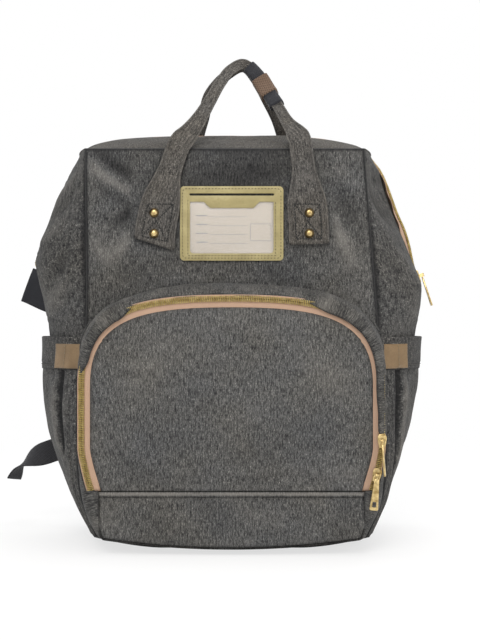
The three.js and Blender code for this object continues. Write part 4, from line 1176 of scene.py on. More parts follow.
@dataclass(frozen=True)
class Side:
    """One side of the bag: its front seam line and its fullness at mid-depth."""

    name: str
    sign: int
    seam: Profile
    low: Profile
    zip_foot: float
    zip_end: float
    top: float

    def girth(self, z: float) -> float:
        """Returns the half width at mid-depth."""
        if z < self.zip_foot:
            return self.low.at(z)
        return lerp(self.zip_end, self.top, (z - self.zip_foot) / (BODY_TOP - self.zip_foot))

    def skin(self, y: float, z: float) -> float:
        """Returns the half width at a depth and height."""
        seam = self.seam.at(z)
        return seam + (self.girth(z) - seam) * (1 - (y / REACH) ** 2)

    def swell(self, y: float, z: float) -> float:
        """Returns how far the stuffed cloth stands off the plain skin.

        Args:
            y: Depth.
            z: Height.

        Returns:
            The swell, in millimetres.
        """
        if self.sign < 0:
            return FULLNESS.at(z) * bump(y, -35, 30)
        sink = -12 * smooth(z, 300, 352) + 8 * bump(z, 252, 32)
        return sink * bump(y, -38, 28)

    def tuck(self, y: float, z: float) -> float:
        """Returns how far the cloth is drawn in under the lid's end."""
        drawn = 7.5 if self.sign > 0 else 1.5
        return drawn * smooth(z, 370, 387) * (1 - (y / REACH) ** 2)

    def creases(self, y: float, z: float) -> float:
        """Returns the small folds of the side's cloth.

        Args:
            y: Depth.
            z: Height.

        Returns:
            Their height, in millimetres.
        """
        broad = ripple(y * 0.014, z * 0.011, 3.1 * self.sign) * 2.6 + folds_at(SIDE_FOLDS[self.name], y, z)
        edge = smooth(REACH - abs(y), 0, 22)
        fan = math.sin((z - 0.7 * abs(y)) * 0.16) * 0.9 * bump(z, 330, 60) * bump(abs(y), 48, 22)
        return (broad + fan) * edge

    def stand(self, y: float, z: float) -> float:
        """Returns the full half width, swell and folds included."""
        hold = smooth(z, 10, 40) * smooth(GUSSET_TOP - z, 0, 25)
        calm = 1 - 0.8 * bump(y, 0, 11) * smooth(z, self.zip_foot - 20, self.zip_foot)
        return self.skin(y, z) + (self.swell(y, z) + self.creases(y, z) * calm) * hold - self.tuck(y, z)


SEAM_LOW = ((0, 128), (50, 148), (112, 151), (222, 142))
LEFT_GIRTH = ((0, 138), (60, 164), (130, 184), (215, 188), (280, 200))
RIGHT_GIRTH = ((0, 138), (60, 158.5), (130, 176.5), (215, 188), (258, 191))
FULLNESS = Profile(
    ((215, 0), (250, 1.5), (281, 6.0), (296, 9.0), (311, 9.2), (326, 8.0), (341, 6.2), (361, 3.6), (381, 1.4), (388, 1))
)
LEFT = Side("left", -1, Profile(SEAM_LOW + ((388, 143),)), Profile(LEFT_GIRTH), 280, 200, 156)
RIGHT = Side("right", 1, Profile(SEAM_LOW + ((388, 129),)), Profile(RIGHT_GIRTH), 258, 191, 148)
SIDES = (LEFT, RIGHT)

FRONT_FOLDS = (
    Fold((-139, 373), (-94, 341), 8.0, 4.2),
    Fold((-131, 383), (-92, 356), 7.0, -3.4),
    Fold((-128, 352), (-96, 331), 7.0, -2.4),
    Fold((-112, 316), (-90, 332), 6.5, -3.6),
    Fold((-116, 283), (-95, 305), 8.5, 3.4),
    Fold((-136, 300), (-118, 268), 9.0, 1.8),
    Fold((95, 320), (116, 279), 9.0, 3.6),
    Fold((104, 345), (124, 300), 8.0, -2.4),
    Fold((100, 372), (122, 352), 7.0, 1.8),
    Fold((-40, 376), (38, 379), 5.0, 0.9),
)
SIDE_FOLDS = {
    "left": (
        Fold((-70, 372), (-30, 344), 7.0, 2.2),
        Fold((-72, 352), (-38, 322), 6.0, -2.2),
        Fold((-74, 318), (-30, 300), 7.0, 2.4),
        Fold((-72, 296), (-44, 262), 7.0, -2.6),
        Fold((-64, 262), (-28, 226), 8.0, 2.2),
    ),
    "right": (
        Fold((-72, 356), (-36, 318), 6.0, -2.4),
        Fold((-70, 330), (-40, 280), 7.0, 2.4),
        Fold((-74, 296), (-46, 240), 6.0, -2.6),
        Fold((-60, 268), (-34, 220), 8.0, 2.4),
    ),
}
BACK_FOLDS = (
    Fold((-110, 330), (-70, 300), 14.0, 2.2),
    Fold((60, 290), (110, 330), 14.0, 2.0),
    Fold((-120, 120), (-60, 60), 18.0, 2.6),
    Fold((50, 70), (120, 130), 18.0, -1.8),
    Fold((-20, 180), (60, 150), 20.0, 1.6),
)


def off_holder(x: float, z: float, margin: float = 0.0) -> float:
    """Returns the distance from the cloth that the name holder keeps flat."""
    return max(abs(x) - 52 - margin, abs(z - HOLDER_HEIGHT) - 38 - margin)


def off_patches(x: float, z: float, margin: float = 0.0) -> float:
    """Returns the distance from the cloth that the handles' patches keep flat."""
    return max(abs(abs(x) - HANDLE_AT) - 21 - margin, 290 - margin - z)


def base_lift(x: float, reach: float) -> float:
    """Returns how far the base's corner has risen at a place."""
    return BASE_RISE * clamp((abs(x) - BASE_FLAT) / (reach - BASE_FLAT)) ** 1.6


@dataclass
class Body:
    """The bag's main compartment: two faces, two sides and the base."""

    cloth: Finish = BODY

    def face(self, name: str, facing: int, folds: Sequence[Fold], quiet: Shade) -> Object:
        """Lays the front or back panel.

        Args:
            name: "front" or "back".
            facing: -1 for the front, 1 for the back.
            folds: Folds pressed into it.
            quiet: From 0 where something is sewn on flat, to 1 where the cloth is free.

        Returns:
            The panel.
        """

        def height(x: float, z: float) -> float:
            """Returns how far the cloth stands off its frame."""
            loose = ripple(x * 0.012, z * 0.012, 5.0 * facing) * 1.5 + ripple(x * 0.05, z * 0.04, 9.0, 2) * 0.3
            return (folds_at(folds, x, z) + loose) * quiet(x, z)

        def surface(u: float, v: float) -> Point:
            """Returns the place at a share across and along."""
            low = lerp(-LEFT.seam.at(8), RIGHT.seam.at(8), crowd(u))
            z = lerp(base_lift(low, 128), BODY_TOP, crowd(v))
            left, right = -LEFT.seam.at(z), RIGHT.seam.at(z)
            x = lerp(left, right, crowd(u))
            edge = min(x - left, right - x, (BODY_TOP - z) * 1.3, z + 1.0)
            roll = 3.2 * rolled(edge, 4.5)
            return x, facing * (FACE - roll + height(x, z) * smooth(edge, 1, 10)), z

        def shade(u: float, v: float) -> float:
            """Returns the shade there, from 0 in a crease to 1 on a ridge."""
            x, y, z = surface(u, v)
            edge = min(x + LEFT.seam.at(z), RIGHT.seam.at(z) - x, BODY_TOP - z)
            # painted shade under the lid at the front's top middle and in the seam grooves at the edges; fold height
            # paints highlight and shade, and the 0.46 base darkens the panel slightly
            lid_shade = 0.36 * bump(x, 0, 70) * smooth(z, 312, 362) if facing < 0 else 0.0
            return clamp(0.46 + height(x, z) * 0.1 - lid_shade) * (0.02 + 0.98 * smooth(edge, 1.4, 4.4))

        panel = Cloth(f"{name} panel", 110, 130, self.cloth, (0, facing, 0))
        return dress(panel.lay(surface, shade), "bag", f"{name}_panel")

    def side(self, side: Side) -> Object:
        """Lays one side gusset, drawn in along both seams.

        Args:
            side: The side of the bag.

        Returns:
            The gusset.
        """

        def surface(u: float, v: float) -> Point:
            """Returns the place at a share across and along."""
            y = lerp(-REACH - SEAM_TURN, REACH + SEAM_TURN, crowd(u))
            z = lerp(BASE_RISE, BODY_TOP - 1.0, v)
            held = clamp(y, -REACH, REACH)
            tuck = 1.6 * smooth(abs(y), REACH - 4, REACH + SEAM_TURN)
            return side.sign * (side.stand(held, z) - tuck), y, z

        def shade(u: float, v: float) -> float:
            """Returns the shade there, from 0 in a crease to 1 on a ridge."""
            _, y, z = surface(u, v)
            # painted shade along the seams, and painted highlight and shade on the creases
            seam = 1 - 0.97 * smooth(abs(y), REACH - 4.0, REACH - 0.8)
            return clamp(0.5 + side.creases(y, z) * 0.07) * seam

        piece = Cloth(f"side gusset {side.name}", 90, 150, SHADED_SIDE_CLOTH, (side.sign, 0, 0), side_weave)
        return dress(piece.lay(surface, shade), "bag", f"side_gusset_{side.name}")

    def base(self) -> Object:
        """Lays the base, its corners lifted where the bag rounds up.

        Returns:
            The base.
        """

        def surface(u: float, v: float) -> Point:
            """Returns the place at a share across and along."""
            y = lerp(-REACH - 1, REACH + 1, v)
            held = clamp(y, -REACH, REACH)
            left, right = LEFT.skin(held, BASE_RISE + 3), RIGHT.skin(held, BASE_RISE + 3)
            x = lerp(-left, right, u)
            reach = left if x < 0 else right
            return x, y, base_lift(x, reach)

        piece = Cloth("base panel", 80, 44, self.cloth, (0, 0, -1), top_weave, 2.4)
        return dress(piece.lay(surface), "bag", "base_panel")

    def make(self) -> list[Object]:
        """Makes the five panels.

        Returns:
            The panels, front first.
        """

        def front_quiet(x: float, z: float) -> float:
            """Returns how free the front's cloth is, from 0 under what is sewn on it to 1."""
            pocket = z - 240
            free = min(smooth(off_holder(x, z), 0, 10), smooth(off_patches(x, z), 0, 9))
            return free * smooth(pocket, -60, 0) + 0.25 * (1 - smooth(pocket, -60, 0)) * smooth(pocket, -230, -60)

        def back_quiet(x: float, z: float) -> float:
            """Returns how free the back's cloth is, from 0 under what is sewn on it to 1."""
            strap = max(abs(x) - 46, 355 - z)
            anchor = max(abs(abs(x) - 152) - 34, z - 102, 40 - z)
            return min(smooth(off_patches(x, z), 0, 9), smooth(strap, 0, 9), smooth(anchor, 0, 10))

        front = self.face("front", -1, FRONT_FOLDS, front_quiet)
        back = self.face("back", 1, BACK_FOLDS, back_quiet)
        return [front, back, *(self.side(side) for side in SIDES), self.base()]


def cord(name: str, route: Route, finish: Finish, size: float, face: Point, steps: int, tone: float) -> Object:
    """Makes the thin turned edge that shows along a seam or a rim.

    Args:
        name: The piece's name.
        route: Its way.
        finish: Its cloth.
        size: Its thickness.
        face: The way its section stands.
        steps: Its rows of faces.
        tone: Its shade, from 0 in a crease to 1 on a ridge.

    Returns:
        The piece.
    """
    return Band(name, route, finish, fixed(size), fixed(size), face, steps, 8, 2.0).make(lambda share, turn: tone)


@dataclass(frozen=True)
class Pleat:
    """An upright ridge or valley of a side pocket, with where it fades in and out."""

    height: float
    depth: float
    width: float
    foot: float
    full: float
    top: float
    fade: float

    def at(self, y: float, z: float) -> float:
        """Returns the pleat's height at a place."""
        across = self.height * bump(y, self.depth, self.width)
        return across * smooth(z, self.foot, self.full) * smooth(self.top - z, 0, self.fade)


PLEATS = {
    "left": (
        Pleat(-4.4, -58, 2.6, 84, 105, 176, 8),
        Pleat(2.4, -50, 6, 76, 120, 170, 20),
        Pleat(-1.6, -70, 2.2, 18, 40, 150, 30),
    ),
    "right": (
        Pleat(-4.8, -61, 2.8, 52, 80, 178, 8),
        Pleat(2.6, -52, 6, 60, 100, 170, 20),
        Pleat(-1.2, -71, 2.2, 18, 40, 150, 30),
    ),
}


@dataclass
class SidePocket:
    """An open pocket on one side: its cloth, its hem and its end tab."""

    side: Side
    top: float = 204.5
    hem: float = 172.0
    foot: float = 12.0

    def stand(self, y: float, z: float) -> float:
        """Returns the pocket's half width, with its pleats.

        Args:
            y: Depth.
            z: Height.

        Returns:
            The half width, in millimetres.
        """
        side = self.side
        rise = clamp((z - 16) / 186)
        slack = (8.5 * rise**0.6 - 4.5 * smooth(z, 146, 202)) * (1 - (y / REACH) ** 2)
        base = side.stand(y, z) if z < 60 else lerp(side.stand(y, z), side.skin(y, z), smooth(z, 60, 110))
        return base + 2.3 * (0.25 + 0.75 * smooth(REACH - abs(y), 0, 9)) + slack + self.fold(y, z)

    def fold(self, y: float, z: float) -> float:
        """Returns the pocket's pleats and ripples.

        Args:
            y: Depth.
            z: Height.

        Returns:
            Their height, in millimetres.
        """
        held = smooth(REACH - abs(y), 0, 9)
        pleat = sum(part.at(y, z) for part in PLEATS[self.side.name])
        loose = ripple(y * 0.03, z * 0.018, 7.7 * self.side.sign) * 2.0
        gather = math.sin(y * 0.55) * 0.5 * smooth(z, 135, 171) * smooth(self.hem - z, -1, 6)
        return pleat + (loose + gather) * held * smooth(z, 16, 60) * (0.35 + 0.65 * smooth(176 - z, 0, 30))

    def cloth(self) -> Object:
        """Lays the pocket's cloth up to the hem.

        Returns:
            The pocket's cloth.
        """

        def surface(u: float, v: float) -> Point:
            """Returns the place at a share across and along."""
            y = lerp(-REACH - SEAM_TURN, REACH + SEAM_TURN, u)
            z = lerp(self.foot, self.top - 2.2, v)
            held = clamp(y, -REACH, REACH)
            return self.side.sign * (self.stand(held, z) - 1.3 * smooth(abs(y), REACH - 3, REACH + SEAM_TURN)), y, z

        def shade(u: float, v: float) -> float:
            """Returns the shade there, from 0 in a crease to 1 on a ridge."""
            _, y, z = surface(u, v)
            # painted shade inside the main pleat, and painted highlight and shade on the folds
            main = PLEATS[self.side.name][0]
            inside = 0.9 * bump(y, main.depth, 2.5) * smooth(z, main.foot, main.foot + 24) * smooth(177 - z, 0, 6)
            return clamp(0.5 + self.fold(y, z) * 0.11 - inside)

        name = self.side.name
        piece = Cloth(f"side pocket {name}", 150, 90, SHADED_SIDE_CLOTH, (self.side.sign, 0, 0), side_weave)
        return dress(piece.lay(surface, shade), "bag", f"side_pocket_{name}")

    def band(self) -> Object:
        """Lays the doubled hem, rounded over its top edge.

        Returns:
            The hem.
        """

        def surface(u: float, v: float) -> Point:
            """Returns the place at a share across and along."""
            y = lerp(-REACH, REACH, u)
            turn = math.pi * clamp(v * 2 - 1)
            z = lerp(self.hem, self.top - 1.4, clamp(v * 2)) + 1.4 * math.sin(turn)
            out = 1.6 - 2.9 * (1 - math.cos(turn)) / 2
            ends = 0.9 * bump(v, 0, 0.05)
            wave = 0.5 * math.sin(y * 0.09 + 1.0) * smooth(REACH - abs(y), 0, 12)
            groove = -0.7 * bump(z, self.hem + 4.5, 1.0)
            return self.side.sign * (self.stand(y, z) + out - ends + wave + groove), y, z

        def shade(u: float, v: float) -> float:
            """Returns the shade there, from 0 in a crease to 1 on a ridge."""
            _, y, z = surface(u, v)
            # painted shade in the topstitch groove and at the hem's foot
            return 0.5 - 0.22 * bump(z, self.hem + 4.5, 1.4) - 0.25 * bump(z, self.hem, 1.2)

        name = self.side.name
        piece = Cloth(f"pocket hem {name}", 100, 26, SHADED_HEM_CLOTH, (self.side.sign, 0, 0), side_weave, 1.0)
        return dress(piece.lay(surface, shade), "bag", f"pocket_hem_{name}")

    def tab(self) -> list[Object]:
        """Makes the tan tab over the hem's front end, with its stitches.

        Returns:
            The tab and its stitches.
        """
        name = self.side.name
        sign = self.side.sign

        def surface(u: float, v: float, lift: float = 3.2) -> Point:
            """Returns the place at a share across and along."""
            y = lerp(-REACH - 1.6, -REACH + 25.5, u)
            z = lerp(self.hem + 1.5, self.hem + 25.5, v)
            held = clamp(y, -REACH, REACH)
            edge = min(y + REACH + 1.6, -REACH + 25.5 - y, z - self.hem - 1.5, self.hem + 25.5 - z)
            return sign * (self.stand(held, z) + lift - 0.7 * (1 - smooth(edge, 0, 1.4))), y, z

        piece = Cloth(f"pocket tab {name}", 34, 30, TAB, (sign, -0.4, 0), side_weave, 1.4)
        tab = dress(piece.lay(surface), "bag", f"pocket_tab_{name}")
        points = [Vector(surface(0.52, t / 20, 3.5)) for t in range(21)]
        places = sew_along(points, Vector((sign, -0.5, 0)).normalized(), 2.6, 0.9)
        return [tab, dress(stitch(f"tab stitches {name}", places, PALE_THREAD, 2.6, 0.8), "bag")]

    def stitches(self) -> Object:
        """Sews the hem's topstitch.

        Returns:
            The stitches.
        """
        z = self.hem + 4.5
        sign = self.side.sign
        line = [lerp(-REACH + 2, REACH - 2, i / 80) for i in range(81)]
        points = [Vector((sign * (self.stand(y, z) + 1.6), y, z)) for y in line]
        places = sew_along(points, Vector((sign, 0, 0)), 2.4, 1.0)
        return dress(stitch(f"hem stitches {self.side.name}", places, THREAD, 2.4, 0.7), "bag")

    def make(self) -> list[Object]:
        """Makes the pocket."""
        return [self.cloth(), self.band(), *self.tab(), self.stitches()]


SHOULDERS = Profile(
    (
        (-1, 0),
        (-0.92, 0.44),
        (-0.81, 0.69),
        (-0.64, 0.89),
        (-0.35, 1),
        (0.25, 1),
        (0.64, 0.89),
        (0.8, 0.69),
        (0.91, 0.44),
        (1, 0),
    )
)


@dataclass
class Lid:
    """The wide mouth's two cloth halves, which meet at the main zip."""

    crown: float = 21.3
    mouth: float = 3.1
    shoulders: Profile = SHOULDERS

    def place(self, across: float, y: float) -> Point:
        """Returns a place on the lid, with across from -1 to 1.

        Args:
            across: From -1 on the left to 1 on the right.
            y: Depth.

        Returns:
            The place, in millimetres.
        """
        left, right = (side.skin(y, GUSSET_TOP) - side.tuck(y, GUSSET_TOP) for side in (LEFT, RIGHT))
        x = lerp(-left, right, (across + 1) / 2)
        lift = self.crown * self.shoulders.at(across) * math.sin(math.pi / 2 * (1 - abs(y) / REACH))
        wave = ripple(x * 0.02, y * 0.03, 4.4) * 1.4 * smooth(REACH - abs(y), 0, 14) * smooth(abs(y), 3, 14)
        return x, y, BODY_TOP + lift + wave * (1 - across**4)

    def half(self, name: str, facing: int) -> Object:
        """Lays one half.

        Args:
            name: The half's name.
            facing: -1 for the front, 1 for the back.

        Returns:
            The half.
        """

        def surface(u: float, v: float) -> Point:
            """Returns the place at a share across and along."""
            x, y, z = self.place(lerp(-1, 1, u), facing * lerp(REACH + 1.4, self.mouth, v))
            return x, y, z - 1.2 * (1 - smooth(REACH - abs(y), -1.4, 2.0))

        def shade(u: float, v: float) -> float:
            """Returns the shade there, from 0 in a crease to 1 on a ridge."""
            # painted shade darkening the lid along its outer seam
            return 0.5 * smooth(v, 0.0, 0.045) + 0.05

        piece = Cloth(f"lid {name}", 110, 60, SHADED_LID_CLOTH, (0, 0, 1), top_weave, 1.4)
        return dress(piece.lay(surface, shade), f"lid_{name}_half", f"lid_{name}")

    def zip_line(self, inset: float) -> list[Vector]:
        """Returns the line of the lid zip, off the middle by an inset."""
        return [Vector(self.place(lerp(-0.985, 0.985, i / 90), inset)) for i in range(91)]

    def make(self) -> list[Object]:
        """Makes both halves with their tapes and teeth.

        Returns:
            The halves, tapes and teeth.
        """
        made = []
        for name, facing in (("front", -1), ("back", 1)):
            made.append(self.half(name, facing))

            def tape(u: float, v: float, facing: int = facing) -> Point:
                """Returns the tape's place at a share across and along."""
                x, y, z = self.place(lerp(-0.99, 0.99, u), facing * lerp(1.2, 9.0, v))
                return x, y, z + 0.5 - 0.3 * v

            strip = Cloth(f"lid zip tape {name}", 110, 6, TAPE, (0, 0, 1), top_weave, 0.5)
            made.append(dress(strip.lay(tape), f"lid_{name}_half"))
            sunk = [point - Vector((0, 0, 0.8)) for point in self.zip_line(facing)]
            row = chain_row(sunk, Vector((0, 0, 1)), 0.0 if facing < 0 else 0.5)
            teeth = set_teeth(f"lid zip teeth {name}", row, (2.6, 1.0, 2.4))
            made.append(dress(teeth, f"lid_{name}_half", f"lid_teeth_{name}"))
        return made


# --- Front pocket ---


@dataclass(frozen=True)
class PocketLine:
    """A closed line of the front pocket: a flat foot, two legs and an arch."""

    depth: float
    foot_half: float
    foot: float
    foot_rise: float
    leg_half: float
    leg_top: float
    top: float
    draw: float
    shoulder: float
    reach: float
    leg_foot: float = 100.0

    def half(self, inset: float) -> list[Flat]:
        """Returns the right half, from the middle of the foot to the top.

        Args:
            inset: How far inside the line to run.

        Returns:
            Its places across and up.
        """
        steps = [i / 12 for i in range(13)]
        points = [((self.foot_half - inset) * t, self.foot + inset + self.foot_rise * t * t) for t in steps]
        low = points[-1][1]
        for i in range(1, 17):
            t = i / 16
            draw = (self.leg_half - self.foot_half) * (1 - t) ** self.draw
            points.append((self.leg_half - inset - draw, lerp(low, self.leg_foot, t)))
        for i in range(1, 6):
            points.append((self.leg_half - inset, lerp(self.leg_foot, self.leg_top, i / 6)))
        top = self.top - inset
        a = Vector((self.leg_half - inset, self.leg_top))
        b = Vector((self.leg_half - inset, self.leg_top + (top - self.leg_top) * self.shoulder))
        c = Vector(((self.leg_half - inset) * self.reach, top))
        d = Vector((0, top))
        for i in range(41):
            t = i / 40
            r = 1 - t
            point = a * r**3 + b * 3 * r * r * t + c * 3 * r * t * t + d * t**3
            points.append((point.x, point.y))
        return points

    def loop(self, inset: float, count: int) -> list[Flat]:
        """Returns the whole line as evenly spaced places, foot first, ends joined."""
        right = self.half(inset)
        left = [(-x, z) for x, z in reversed(right)]
        return spread(right + left[1:], count)

    def arch(self, inset: float, foot: float, count: int = 260) -> list[Flat]:
        """Returns the line over the arch from the right leg to the left.

        Args:
            inset: How far inside the line to run.
            foot: Height at which it starts and ends.
            count: How many places to return.

        Returns:
            Its places across and up.
        """
        right = [(self.leg_at(foot, inset), foot), *((x, z) for x, z in self.half(inset)[12:] if z >= foot)]
        left = [(-x, z) for x, z in reversed(right)]
        return spread(right + left[1:], count)

    def leg_at(self, z: float, inset: float) -> float:
        """Returns the half width of the leg at a height.

        Args:
            z: Height.
            inset: How far inside the line.

        Returns:
            The half width, in millimetres.
        """
        legs = self.half(inset)[12:34]
        for (xa, za), (xb, zb) in zip(legs, legs[1:]):
            if z <= zb:
                return lerp(xa, xb, clamp((z - za) / (zb - za)))
        return self.leg_half - inset


SEAM_LINE = PocketLine(80.3, 125, 3, 8, 145.5, 196, 253, 2.0, 0.67, 0.5)
EDGE_LINE = PocketLine(119.0, 122, 6, 9, 145.5, 160, 245.5, 1.3, 0.86, 0.64)


FORWARD = Vector((0, -1, 0))
SILL = 60.0  # height of the flap's foot
LOWER_HALF = 125.5  # half width of the panel below the flap


def overhang(x: float, z: float) -> float:
    """Returns how far inside the edge the stuffed band rolls over the zip.

    Args:
        x: Across place on the edge line.
        z: Height on the edge line.

    Returns:
        The reach of the roll, in millimetres.
    """
    if z < SILL - 0.3:
        return max(0.0, abs(x) - LOWER_HALF + 1.0) * smooth(SILL - 0.3 - z, 0, 2.4) * smooth(abs(x), 60, 100)
    left = 9.0 * smooth(-x, 84, 110) * smooth(z, 158, 186)
    right = 8.8 * smooth(x, 52, 98) * smooth(z, 132, 186)
    leg = 7.6 * smooth(x, 100, 130) * smooth(z, 104, 118) * (1 - smooth(z, 140, 186))
    top = 1.1 + 0.9 * math.sin(x * 0.11) * smooth(z, 200, 235)
    return max(left, right + leg, top if z > 180 else 0.3)


FLAP_FOLDS = (
    Fold((-96, 150), (-60, 205), 16.0, 2.0),
    Fold((-40, 110), (30, 135), 22.0, 1.4),
    Fold((60, 200), (110, 150), 16.0, 2.4),
    Fold((40, 90), (112, 118), 16.0, -1.6),
    Fold((-110, 88), (-70, 70), 12.0, -1.8),
    Fold((-20, 215), (60, 226), 12.0, 1.4),
    Fold((84, 84), (124, 76), 10.0, 2.0),
)


@dataclass
class FrontPocket:
    """The stuffed front pocket: its band, zip, flap and lower panel."""

    flap_edge: float = 12.5
    around: int = 300

    def band(self) -> Object:
        """Lays the band, a full roll with streaks drawn across it.

        Returns:
            The band.
        """
        seam = SEAM_LINE.loop(0, self.around + 1)
        edge = EDGE_LINE.loop(0, self.around + 1)
        run = measured(edge)

        def puff(k: int, v: float, beside: float) -> float:
            """Returns how far the band stands out at one of its steps round."""
            z = edge[k][1]
            high = smooth(z, 20, 90)
            over = lerp(5.2 * high + 1.4, 0.6 + 6.0 * bump(z, 46, 36), smooth(beside, 0.45, 0.95))
            streak = ripple(run[k] * 0.055, v * 1.3, 2.0) * 1.3 + ripple(run[k] * 0.02, v, 8.0, 2) * 1.4
            return over * math.sin(math.pi * v) ** 0.8 + streak * math.sin(math.pi * v) * (0.4 + 0.6 * high)

        def surface(u: float, v: float) -> Point:
            """Returns the place at a share across and along."""
            k = round(u * self.around) % self.around
            (xs, zs), (xe, ze) = seam[k], edge[k]
            nxt, prev = edge[(k + 1) % self.around], edge[(k - 1) % self.around]
            tangent = Vector((nxt[0] - prev[0], nxt[1] - prev[1])).normalized()
            out = Vector((tangent.y, -tangent.x))
            reach = overhang(xe, ze)
            lip = clamp(reach / 8)
            share = clamp(v / 0.88)
            full = puff(k, share, abs(out.x))
            x = lerp(xs, xe, share) + out.x * full
            z = lerp(zs, ze, share) + out.y * full
            y = -lerp(SEAM_LINE.depth, EDGE_LINE.depth, share)
            roll = smooth(v, 0.46, 0.74) * lip
            turn = clamp((v - 0.88) / 0.12)
            forward = 7.4 * roll + (1.4 + 0.6 * lip) * math.sin(math.pi * turn)
            inward = reach * smooth(v, 0.74, 0.97) + 0.4 * turn
            return x - out.x * inward, y - forward * (1 - 0.5 * turn), z - out.y * inward

        def shade(u: float, v: float) -> float:
            """Returns the shade there, from 0 in a crease to 1 on a ridge."""
            k = round(u * self.around) % self.around
            # painted highlight and shade on the band's streaks, and painted shade at its rolled edge and its seam
            streak = ripple(run[k] * 0.055, v * 1.3, 2.0)
            dark = 0.3 * smooth(v, 0.86, 1.0) + 0.5 * smooth(0.06 - v, 0, 0.06)
            return clamp(0.52 + 0.28 * streak - dark)

        def weave(point: Point, u: float, v: float) -> Flat:
            """Returns the cloth's own coordinates, run round the line."""
            return run[min(round(u * self.around), self.around)], v * 42

        piece = Cloth("front pocket band", self.around, 30, SHADED_SIDE_CLOTH, (0, -0.01, 1), weave, 1.4, closed=True)
        return dress(piece.lay(surface, shade), "bag", "front_pocket_gusset")

    def seam_groove(self) -> Object:
        """Makes the turned edge where the band is sewn to the body."""
        points = [(x, -80.6, z) for x, z in SEAM_LINE.arch(-0.9, 14, 70)]
        # the cord's tone of 0.32 paints shade in the seam
        return dress(cord("front pocket seam", Route(points), BODY, 2.4, (0.0, -1.0, 0.3), 120, 0.32), "bag")

    def flap_height(self, x: float, z: float) -> float:
        """Returns how far the flap's cloth stands forward of its frame."""
        full = 4.2 * (1 - (x / 150) ** 2) * math.sin(math.pi * clamp((z - 45) / 210))
        wave = ripple(x * 0.013, z * 0.015, 6.6) * 2.0 + ripple(x * 0.045, z * 0.035, 1.6, 2) * 0.5
        return max(-0.6, full + wave + folds_at(FLAP_FOLDS, x, z))

    def flap(self) -> Object:
        """Lays the flap, from the sill up to its arched edge.

        Returns:
            The flap, blended across its foot.
        """
        line = EDGE_LINE.arch(self.flap_edge, SILL + 0.3, 200)
        foot = [(lerp(line[-1][0], line[0][0], t / 40), SILL + 0.3) for t in range(1, 40)]
        rim = line + foot + [line[0]]
        count = len(rim) - 1

        def flat(u: float, v: float) -> Flat:
            """Returns the place across and up."""
            x, z = rim[round(u * count) % count]
            return lerp(0.0, x, v), lerp(146.0, z, v)

        def surface(u: float, v: float) -> Point:
            """Returns the place at a share across and along."""
            x, z = flat(u, v)
            soft = smooth((1 - v) * 100, 0, 16)
            turned = lerp(0.5, 2.3, smooth(z, SILL + 2, SILL + 9))
            roll = turned * rolled((1 - v) * 110, 3.4)
            seat = 0.35 * soft * smooth(z, SILL, SILL + 14) + 0.65 * soft * smooth(z, SILL, SILL + 30)
            return x, -(123.3 + self.flap_height(x, z) * seat - roll), z

        def shade(u: float, v: float) -> float:
            """Returns the shade there, from 0 in a crease to 1 on a ridge."""
            x, z = flat(u, v)
            # painted highlight and shade on the flap's folds
            return clamp(0.5 + 0.04 * (ripple(x * 0.013, z * 0.015, 6.6) * 2.0 + folds_at(FLAP_FOLDS, x, z)))

        piece = Cloth("front flap", count, 60, BODY, (0, -1, 0), closed=True)
        made = piece.lay(surface, shade)
        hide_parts("front_flap")
        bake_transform(made)
        return made

    def lower_panel(self) -> Object:
        """Lays the panel below the flap, topped by a rolled welt.

        Returns:
            The panel.
        """
        top = SILL - 0.3

        def flat(u: float, v: float) -> Flat:
            """Returns the place across and up."""
            across = 2 * u - 1
            low = EDGE_LINE.foot + 1 + EDGE_LINE.foot_rise * across * across
            z = lerp(low, top, v)
            return across * min(EDGE_LINE.leg_at(max(z, 15.5), 1.0), LOWER_HALF), z

        def surface(u: float, v: float) -> Point:
            """Returns the place at a share across and along."""
            x, z = flat(u, v)
            side = 1 - abs(2 * u - 1)
            edge = min(side * 130, z - flat(u, 0)[1] + 0.01)
            roll = 3.4 * rolled(edge, 4.0)
            welt = 2.2 * math.sqrt(clamp(1 - ((z - (top - 2.1)) / 2.3) ** 2)) if z > top - 4.4 else 0.0
            wave = ripple(x * 0.03, z * 0.03, 3.3) * 1.5 * smooth(edge, 2, 16) * smooth(top - z, 4, 12)
            gather = 2.2 * bump(x, 124, 9) * bump(z, 34, 16)
            return x, -(122.4 + wave + gather + welt - roll), z

        def shade(u: float, v: float) -> float:
            """Returns the shade there, from 0 in a crease to 1 on a ridge."""
            x, z = flat(u, v)
            # painted highlight on the welt's top and painted shade in the line below it
            welt = 0.45 * bump(z, top - 2, 2.2) - 0.4 * bump(z, top - 5.0, 0.8)
            return clamp(0.5 + welt + 0.12 * ripple(x * 0.03, z * 0.03, 3.3))

        piece = Cloth("front pocket lower panel", 150, 56, BODY, (0, -1, 0), thickness=2.0)
        return dress(piece.lay(surface, shade), "bag", "front_pocket_lower_panel")

    def sill_stitches(self) -> Object:
        """Sews the topstitch under the welt.

        Returns:
            The stitches.
        """
        z = SILL - 6.2
        half = LOWER_HALF - 3
        points = [Vector((lerp(-half, half, i / 90), -122.9, z)) for i in range(91)]
        places = sew_along(points, FORWARD, 2.6, 1.2)
        return dress(stitch("sill stitches", places, THREAD, 2.6, 0.9), "bag")

    def flap_stitches(self) -> Object:
        """Sews the topstitch round the flap's edge.

        Returns:
            The stitches.
        """
        line = EDGE_LINE.arch(self.flap_edge + 2.6, SILL + 6, 240)
        points = [Vector((x, -123.5 - 0.28 * max(0.0, self.flap_height(x, z)), z)) for x, z in line]
        places = sew_along(points, FORWARD, 2.6, 1.3)
        return dress(stitch("flap stitches", places, THREAD, 2.6, 0.6), "pocket_flap")

